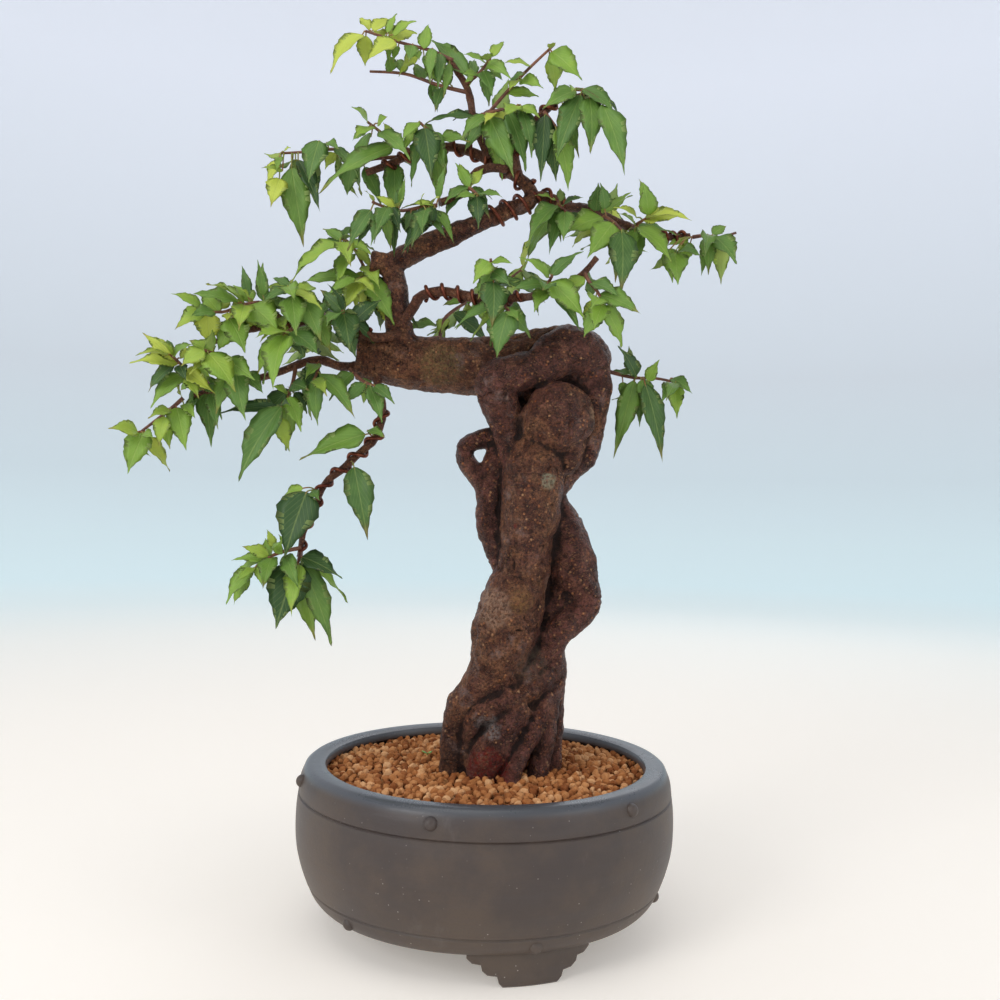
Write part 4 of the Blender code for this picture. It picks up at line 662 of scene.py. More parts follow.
# Strands of the braided trunk, front ones first: x, y, z and radius
strands = {
    "main": [
        (27, -10, 317, 14), (28, -15, 308, 19), (27, -18, 289, 20.5), (26, -18, 269, 19.5),
        (24, -17, 254, 18), (23, -16, 240, 17.5), (20, -16, 227, 18.5), (16, -17, 213, 21.5),
        (12, -17, 197, 22), (9, -17, 182, 21), (4, -18, 168, 17.5), (-4, -19, 158, 14),
        (-13, -19, 149, 11.5), (-20, -20, 137, 9.5), (-22, -21, 124, 8), (-22, -22, 110, 8),
        (-22, -22, 96, 7.5), (-22, -22, 84, 6.5)],
    "left_back": [
        (11, -3, 326, 7), (7, -3, 317, 7.5), (3, -5, 307, 8), (1, -6, 297, 8.6), (-1, -6, 288, 8.5),
        (-2, -6, 276, 8.3), (-2, -6, 264, 8.5), (2, -7, 252, 8.5), (8, -9, 240, 8), (13, -11, 226, 8)],
    "left_loop": [
        (12, -4, 328, 8.5), (3, -3, 323, 7.4), (-8, -2, 320, 6.8), (-16, -2, 316, 6.7),
        (-18, -3, 309, 6.8), (-13, -4, 300, 7), (-6, -5, 292, 7.4), (-1, -6, 284, 7.5)],
    "crown": [
        (66, -3, 366, 16), (60, -5, 375, 18.5), (50, -9, 378, 19.3), (40, -14, 374, 16),
        (29, -19, 367, 12.8), (18, -22, 363, 12), (9, -23, 360, 12.8), (2, -23, 358, 13.8),
        (3, -20, 347, 13.5), (8, -14, 335, 12.5), (12, -11, 323, 12), (15, -9, 310, 12),
        (17, -9, 296, 11)],
    "crown_right": [
        (58, -4, 378, 16), (65, -4, 367, 14), (67, -4, 354, 12), (66, -5, 342, 11.5),
        (64.5, -5, 331, 10.5), (64, -5, 321, 9.5), (61, -5, 311, 9), (54, -6, 303, 8.5),
        (47, -8, 295, 9), (40, -10, 286, 9)],
    "knob": [
        (20, -16, 334, 8), (26, -17, 333, 17), (34, -18, 333, 22.5), (43, -18, 333, 24.3),
        (51, -17, 333, 22.5), (58, -16, 332, 17), (63, -14, 331, 9)],
    "knob_tail": [
        (48, -15, 326, 16), (50, -15, 315, 11.5), (49, -14, 305, 8.5), (45, -12, 296, 7)],
    "right_bow": [
        (36, -4, 286, 10), (44, -3, 272, 12), (49, -3, 259, 14.5), (53, -4, 246, 16),
        (56, -5, 234, 15.5), (61, -6, 223, 13), (65, -9, 213, 10.5), (60, -13, 205, 9.5),
        (50, -15, 197, 10), (42, -13, 188, 10.5), (39, -9, 176, 11.5)],
    "right_column": [
        (39, -9, 180, 12), (41, -8, 168, 11), (42, -7, 156, 10), (43, -6, 144, 9), (43, -6, 132, 9),
        (42, -7, 120, 9), (42, -8, 106, 9), (42, -8, 90, 8)],
    "shoulder": [
        (42, -8, 190, 10.5), (36, -11, 179, 11.5), (26, -15, 169, 11.5), (14, -18, 161, 10.5),
        (2, -20, 155, 9)],
    "cross_root": [
        (42, -12, 172, 8.5), (36, -17, 162, 8.5), (25, -22, 155, 8.5), (13, -26, 149, 8.5),
        (3, -28, 144, 8), (-6, -28, 138, 7), (-11, -26, 128, 5.5), (-13, -25, 116, 5),
        (-14, -25, 104, 4.5), (-14, -25, 90, 4)],
    "front_bulge": [
        (24, -22, 146, 9), (17, -25, 138, 11), (11, -27, 128, 12.5), (5, -28, 118, 13),
        (-1, -29, 108, 12), (-3, -29, 96, 10.5), (-4, -29, 85, 9)],
    "front_root": [
        (38, -14, 152, 7), (35, -19, 140, 6.5), (31, -25, 131, 6), (26, -31, 121, 6),
        (21, -36, 112, 5.8), (16, -40, 102, 5.4), (12, -43, 92, 5)],
    "inner_root": [
        (30, -16, 150, 6), (27, -20, 140, 6), (24, -23, 130, 6), (19, -27, 119, 5.5), (15, -31, 108, 5),
        (12, -33, 95, 5)],
    "right_root": [
        (40, -12, 150, 8), (39, -15, 138, 8), (38, -19, 126, 8), (36, -22, 115, 7.5), (34, -24, 104, 7),
        (33, -25, 90, 6)],
    "core": [
        (58, 1, 356, 12), (44, 1, 354, 15), (30, 0, 346, 15), (22, -2, 332, 13.5), (20, -4, 320, 12),
        (24, 0, 302, 13), (26, 1, 272, 13), (30, 1, 244, 13), (28, 0, 216, 14), (24, -1, 190, 15),
        (20, -3, 165, 17), (13, -4, 140, 18), (9, -5, 115, 18), (9, -5, 85, 17)],
    "bow_back": [
        (50, 2, 244, 11), (52, 1, 230, 12), (50, -1, 216, 12), (45, -3, 202, 12), (41, -6, 188, 11)],
    "back_left": [
        (20, 8, 318, 10), (32, 12, 296, 10), (40, 11, 270, 9.5), (34, 13, 246, 9), (20, 13, 226, 10),
        (10, 9, 205, 11), (10, 10, 180, 11), (20, 13, 156, 11), (30, 13, 132, 10), (35, 15, 108, 9),
        (37, 16, 86, 8)],
    "back_right": [
        (38, 4, 326, 11), (24, 11, 304, 10), (12, 11, 280, 9.5), (14, 12, 256, 9), (28, 13, 232, 9.5),
        (40, 9, 208, 9.5), (38, 8, 184, 10), (26, 12, 162, 10), (8, 12, 140, 10), (-4, 12, 118, 9.5),
        (-9, 13, 96, 9), (-11, 13, 85, 8)],
    "limb": [
        (-92, 1, 374, 15), (-80, 2, 373, 16), (-60, 3, 371, 17.5), (-36, 4, 370, 19),
        (-10, 6, 370, 19.5), (10, 8, 372, 19), (28, 8, 378, 18), (45, 5, 381, 17), (58, 0, 380, 16)],
    "stem": [
        (-60, 2, 372, 13), (-63, 1, 384, 11), (-65, 0, 396, 9), (-65, -2, 410, 8), (-67, -3, 424, 7.6),
        (-70, -3, 435, 7.8), (-62, -3, 441, 7.8), (-48, -3, 448, 7.6), (-35, -3, 454, 7.2),
        (-20, -2, 461, 6.6), (-5, -2, 468, 6.2), (10, -1, 475, 5.8), (21, 0, 480, 5.4), (23, 0, 485, 5),
        (20, 0, 491, 4.7), (12, 0, 497, 4.5), (3, 0, 504, 4.2), (-4, 0, 509, 3.8)],
    "stub": [
        (-66, -3, 436, 7.6), (-74, -3, 436, 7.6), (-83, -3, 437, 7.2)],
}
trunk = {
    "voxel": 1.35, "softening": 2, "hollowRounds": 14, "knobs": 1.6, "grit": 0.5, "crease": 1.7,
    # how ochre each strand's bark is, from purple-brown 0 to ochre 1
    "ochre": {"limb": 0.75, "stem": 0.6, "stub": 0.6, "main": 0.6, "knob": 0.5, "knob_tail": 0.5,
              "crown": 0.2, "crown_right": 0.25, "shoulder": 0.4, "bow_back": 0.15, "left_loop": 0.12,
              "left_back": 0.15, "right_bow": 0.18, "right_column": 0.3, "cross_root": 0.42,
              "front_bulge": 0.35, "front_root": 0.12, "inner_root": 0.3, "right_root": 0.25,
              "core": 0.1, "back_left": 0.35, "back_right": 0.3},
    "purple": tint(122, 74, 64), "plum": tint(72, 37, 30), "ochreBark": tint(106, 62, 40),
    "gold": tint(146, 98, 66), "creviceAndShade": tint(20, 8, 5), "lenticel": tint(204, 154, 112),
    "rust": tint(178, 104, 62), "bloom": tint(168, 142, 134),
    # marks on the bark: centre, radius, colour and strength. The grey-white mark on the front of the bulge
    # is a painted sheen.
    "marks": [((-35, -15, 368), 16, tint(124, 112, 66), 0.5), ((37, -36, 292), 6, tint(160, 158, 130), 0.8),
              ((40, -36, 291), 2.5, tint(34, 20, 14), 0.8), ((3, -36, 210), 14, tint(186, 148, 122), 0.7),
              ((-5, -30, 218), 9, tint(176, 138, 110), 0.6), ((21, -38, 215), 9, tint(150, 108, 62), 0.65),
              ((66, -28, 337), 5, tint(188, 150, 118), 0.75), ((45, -34, 307), 7, tint(150, 78, 36), 0.6),
              # the first mark on this line, grey-white on the front of the bulge, is a painted sheen
              ((0, -40, 134), 10, tint(156, 146, 142), 0.7), ((1, -40, 106), 17, tint(120, 22, 10), 0.9),
              ((25, -40, 142), 3.5, tint(196, 186, 170), 0.7), ((28, -26, 173), 13, tint(90, 76, 62), 0.6),
              ((15, -36, 263), 2.5, tint(150, 30, 18), 0.8), ((-24, -28, 122), 16, tint(38, 15, 12), 0.75),
              ((-20, -26, 104), 14, tint(40, 16, 12), 0.7)],
}


def barkPaint(name, cell):
    # ochre or purple bark with raised pores, dark creases, painted shade in its hollows and a pale bloom
    paint = Paint(name, {"Specular IOR Level": 0.32})
    hollow = paint.read("hollow")
    broad = paint.cloud(30, 4, 0.6)
    middle = paint.cloud(115, 5, 0.65)
    fine = paint.cloud(560, 6, 0.75)
    warm = (paint.read("ochre") + (broad - 0.5) * 1.6 + (middle - 0.5) * 1.0).rise(0.2, 0.9)
    dark = paint.mix(middle.rise(0.38, 0.62), trunk["plum"], trunk["purple"])
    pale = paint.mix(middle.rise(0.4, 0.64), trunk["ochreBark"], trunk["gold"])
    colour = paint.mix(warm, dark, pale)
    colour = paint.mix(fine.rise(0.42, 0.56), paint.mix(0.74, colour, trunk["creviceAndShade"]), colour)
    colour = paint.mix(paint.cloud(46, 6, 0.75).rise(0.55, 0.7) * 0.4, colour, trunk["bloom"])
    rings = abs((paint.read("along") * 0.19 + middle * 2.2).part() - 0.5).rise(0.36, 0.5)
    rings = rings * paint.cloud(40, 2).rise(0.48, 0.62)
    colour = paint.mix(rings * 0.5, colour, trunk["creviceAndShade"])
    flecks = paint.cloud(760, 5, 0.8, paint.stretched(1, 1, 1.5)).rise(0.55, 0.63)
    pores = paint.cells(cell).fall(0.16, 0.34) * paint.cloud(130, 3).rise(0.44, 0.6)
    kind = paint.node("ShaderNodeSeparateXYZ", {}, {0: paint.cells(cell, "Color")}, "X")
    speck = paint.mix(kind, trunk["rust"], trunk["lenticel"])
    colour = paint.mix(flecks * 0.8, colour, speck)
    colour = paint.mix(pores * 0.85, colour, speck)
    # painted shade: points lying in hollows between the strands are darkened towards the crevice colour
    colour = paint.mix(hollow.rise(0.05, 0.9) * 0.85, colour, trunk["creviceAndShade"])
    paint.feed("Roughness", 0.36 + warm * 0.14 + pores * 0.12 + hollow.rise(0.0, 0.5) * 0.4)
    paint.bump(fine * 1.0 + middle * 0.9 + pores * 0.5 + flecks * 0.4 - rings * 0.5, 1.0, 0.0023)
    return paint, colour


def trunkPaint():
    paint, colour = barkPaint("trunkBark", 300)
    crumbs = paint.cloud(520, 5, 0.75).rise(0.38, 0.62)
    for centre, radius, shade, strength in trunk["marks"]:
        colour = paint.mix(paint.spot(centre, radius) * crumbs * strength, colour, shade)
    paint.feed("Base Color", colour)
    return paint.material


def storeNumbers(mesh, name, values):
    mesh.attributes.new(name, "FLOAT", "POINT").data.foreach_set("value", values)


def hollows(shape, rounds):
    # how far each point lies inside a much smoothed copy of the surface, in millimetres
    spots = [point.co.copy() for point in shape.verts]
    links = [[edge.other_vert(point).index for edge in point.link_edges] for point in shape.verts]
    for _ in range(rounds):
        spots = [sum((spots[other] for other in near), Vector()) / len(near) for near in links]
    return [(spot - point.co).dot(point.normal) / mm for spot, point in zip(spots, shape.verts)]


def barkNumbers(piece, wood, rounds):
    # stores each point's ochre, hollow and along values, from the nearest strand of the wood
    spots = []
    for name, rows in wood.items():
        away = 0
        path = smoothPath(rows, 3)
        for row, following in zip(path, path[1:] + path[-1:]):
            spots.append((placed(*row[:3]), row[3], trunk["ochre"].get(name, 0.5), away))
            away += (Vector(following[:3]) - Vector(row[:3])).length
    tree = KDTree(len(spots))
    for index, (spot, _, _, _) in enumerate(spots):
        tree.insert(spot, index)
    tree.balance()
    shape = bmesh.new()
    shape.from_mesh(piece.data)
    shape.verts.ensure_lookup_table()
    shape.verts.index_update()
    deep = hollows(shape, rounds)
    ochre, along = [], []
    for point in shape.verts:
        near = tree.find_n(point.co, 8)
        _, best = min((distance / mm - spots[index][1], index) for _, index, distance in near)
        ochre.append(spots[best][2])
        along.append(spots[best][3])
    shape.free()
    storeNumbers(piece.data, "ochre", ochre)
    storeNumbers(piece.data, "hollow", deep)
    storeNumbers(piece.data, "along", along)


def roughen(piece):
    # pushes points in and out along their normals: slow swellings, small bumps and narrow creases
    normals = [point.normal.copy() for point in piece.data.vertices]
    for point, normal in zip(piece.data.vertices, normals):
        spot = point.co / mm
        push = trunk["knobs"] * (noise.noise(spot / 15) + 0.6 * noise.noise(spot / 7))
        push += trunk["grit"] * noise.noise(spot / 3)
        fold = abs(noise.noise(spot / 12 + Vector((9, 4, 2)))) / 0.09
        deep = max(0.0, noise.noise(spot / 26) + 0.15)
        push -= trunk["crease"] * deep * max(0.0, 1 - fold)
        point.co += normal * push * mm


def makeTrunk():
    paths = [smoothPath(rows, 3) for rows in strands.values()]
    piece = tubes("braided_trunk", paths, 6)
    fuse = piece.modifiers.new("fuse", "REMESH")
    fuse.mode = "VOXEL"
    fuse.voxel_size = trunk["voxel"] * mm
    soften = piece.modifiers.new("soften", "SMOOTH")
    soften.factor = 0.5
    soften.iterations = trunk["softening"]
    bake(piece)
    roughen(piece)
    piece.data.shade_smooth()
    barkNumbers(piece, strands, trunk["hollowRounds"])
    piece.data.materials.clear()
    piece.data.materials.append(trunkPaint())
    settle(piece, ["trunk"])
    print("trunk", len(piece.data.polygons), "faces")


makeTrunk()
print("the trunk is grown")

# Branches, from the trunk outwards: x, y, z and radius
branches = {
    "upper_left_branch": [
        (-3, 0, 506, 3.4), (-18, 3, 514, 3.2), (-36, 6, 518, 3), (-59, 9, 513, 2.7), (-75, 12, 507, 2.5),
        (-90, 14, 502, 2.4)],
    "apex_branch": [
        (-6, -2, 508, 2.9), (-16, -6, 531, 2.6), (-19, -8, 545, 2.4), (-22, -9, 554, 2.3),
        (-29, -11, 564, 2), (-32, -12, 568, 1.8)],
    "upper_right_branch": [
        (14, -2, 497, 3), (11, -10, 513, 2.8), (16, -14, 522, 2.6), (30, -18, 534, 2.4),
        (40, -20, 543, 2.2), (50, -22, 543, 2), (61, -24, 545, 1.6)],
    "right_branch": [
        (22, 0, 481, 3.8), (32, 3, 485, 3.6), (48, 8, 480, 3.3), (64, 15, 480, 3), (89, 20, 471, 2.7),
        (116, 26, 465, 2.4), (135, 30, 467, 2.1)],
    "middle_left_branch": [
        (6, -4, 501, 3), (-6, -8, 500, 3), (-16, -10, 494, 2.8), (-23, -14, 481, 2.6),
        (-37, -20, 473, 2.4)],
    "lower_right_branch": [
        (-62, -4, 395, 3.6), (-54, -10, 406, 3.4), (-48, -15, 413, 3.2), (-33, -20, 415, 3.1),
        (-10, -24, 410, 2.9), (10, -27, 410, 2.7), (32, -30, 413, 2.4), (53, -32, 423, 2.1),
        (65, -34, 436, 1.7)],
    "left_lower_branch": [
        (-63, -6, 388, 3.4), (-79, -14, 385, 3.1), (-90, -18, 389, 3), (-112, -22, 395, 2.7),
        (-132, -26, 390, 2.4), (-157, -30, 386, 2), (-185, -32, 375, 1.6)],
    "left_end_branch": [
        (-84, 0, 368, 3.4), (-101, -10, 366, 3), (-118, -16, 369, 2.7), (-146, -20, 358, 2.3),
        (-171, -24, 351, 1.9), (-193, -28, 343, 1.6)],
    "cascade_branch": [
        (-78, -4, 362, 3), (-76, -9, 350, 2.9), (-73, -12, 340, 2.8), (-74, -14, 327, 2.7),
        (-78, -16, 317, 2.6), (-88, -18, 307, 2.5), (-98, -20, 297, 2.4), (-108, -22, 288, 2.2),
        (-115, -24, 271, 2), (-121, -25, 256, 1.9), (-123, -26, 240, 1.8)],
}
branchBark = {"spacing": 1.6, "knots": 0.16, "lumps": 0.08, "warm": tint(120, 78, 62)}


def makeBranches():
    paint, colour = barkPaint("branchBark", 520)
    paint.feed("Base Color", paint.mix(0.3, colour, branchBark["warm"]))
    for name, rows in branches.items():
        path = []
        for number, row in enumerate(smoothPath(rows, branchBark["spacing"])):
            knot = 1 + branchBark["knots"] * max(0.0, math.cos(number * 0.55 + len(name))) ** 6
            lump = 1 + branchBark["lumps"] * noise.noise(Vector(row[:3]) / 4)
            path.append(row[:3] + (row[3] * knot * lump,))
        piece = tubes(name.replace("_branch", "_wood"), [path], 5)
        barkNumbers(piece, {"stem": rows}, 1)
        piece.data.materials.append(paint.material)
        settle(piece, [name])


makeBranches()
print("the branches are grown")

# Wires: the wood each follows, the span of that path it covers, the rise of a turn and its first angle
stemTop = strands["stem"][9:13]
stemTip = strands["stem"][10:17]
wires = {
    "upper_left_wire": ([stemTip, "upper_left_branch"], (0.24, 0.93), 12, 40),
    "right_wire": ([stemTop, "right_branch"], (0.1, 0.46), 10, 200),
    "right_tip_wire": (["right_branch"], (0.8, 0.95), 7, 90),
    "upper_right_wire": (["upper_right_branch"], (0.16, 0.84), 13, 10),
    "lower_right_wire": (["lower_right_branch"], (0.17, 0.62), 10, 120),
    "left_lower_wire": (["left_lower_branch"], (0.17, 0.6), 11, 60),
    "cascade_wire": (["cascade_branch"], (0.17, 0.97), 15, 150),
}
winding = {"radius": 1.25, "stepsPerTurn": 22, "lift": 0.15, "dark": tint(92, 46, 36),
           "worn": tint(136, 78, 56)}


def wirePath(woods, span, rise, start):
    # turns of wire round a stretch of the wood's path, lying on its bark
    rows = []
    for wood in woods:
        rows += branches[wood] if isinstance(wood, str) else wood
    path = smoothPath(rows, 1.5)
    low, high = (round(share * (len(path) - 1)) for share in span)
    path = path[low:high + 1]
    lengths = [0]
    for row, following in zip(path, path[1:]):
        lengths.append(lengths[-1] + (Vector(following[:3]) - Vector(row[:3])).length)
    steps = round(lengths[-1] / rise * winding["stepsPerTurn"])
    side = Vector((0, -1, 0))
    made = []
    index = 0
    for step in range(steps + 1):
        away = lengths[-1] * step / steps
        while index < len(lengths) - 2 and lengths[index + 1] < away:
            index += 1
        share = (away - lengths[index]) / (lengths[index + 1] - lengths[index])
        row, following = path[index], path[index + 1]
        centre = Vector(row[:3]).lerp(Vector(following[:3]), share)
        heading = (Vector(following[:3]) - Vector(row[:3])).normalized()
        side = (side - heading * side.dot(heading)).normalized()
        turn = math.radians(start) + math.tau * step / winding["stepsPerTurn"]
        reach = row[3] + (following[3] - row[3]) * share + winding["radius"] + winding["lift"]
        spot = centre + reach * (side * math.cos(turn) + heading.cross(side) * math.sin(turn))
        made.append(spot.to_tuple() + (winding["radius"],))
    return made


def makeWires():
    paint = Paint("annealedWire", {"Metallic": 0.85})
    worn = paint.cloud(240, 4, 0.6)
    paint.feed("Base Color", paint.mix(worn.rise(0.35, 0.7), winding["dark"], winding["worn"]))
    paint.feed("Roughness", 0.3 + worn * 0.25)
    paint.bump(worn, 0.15, 0.0003)
    for name, wire in wires.items():
        piece = tubes(name + "_wound", [wirePath(*wire)], 3)
        piece.data.materials.append(paint.material)
        settle(piece, [name])


makeWires()
print("the wires are wound")

# Leaves that grow straight from the hanging branch: root, tip, width and tone
cascadeLeaves = [
    ((-80, -26, 321), (-123, -36, 302), 19, "p"),
    ((-81, -28, 323), (-68, -34, 318), 9, "m"),
    ((-89, -29, 301), (-78, -35, 252), 19, "d"),
    ((-117, -36, 284), (-129, -46, 240), 27, "d"),
    ((-119, -36, 285), (-138, -34, 273), 11, "b"),
    ((-115, -33, 283), (-108, -43, 277), 8, "m"),
]
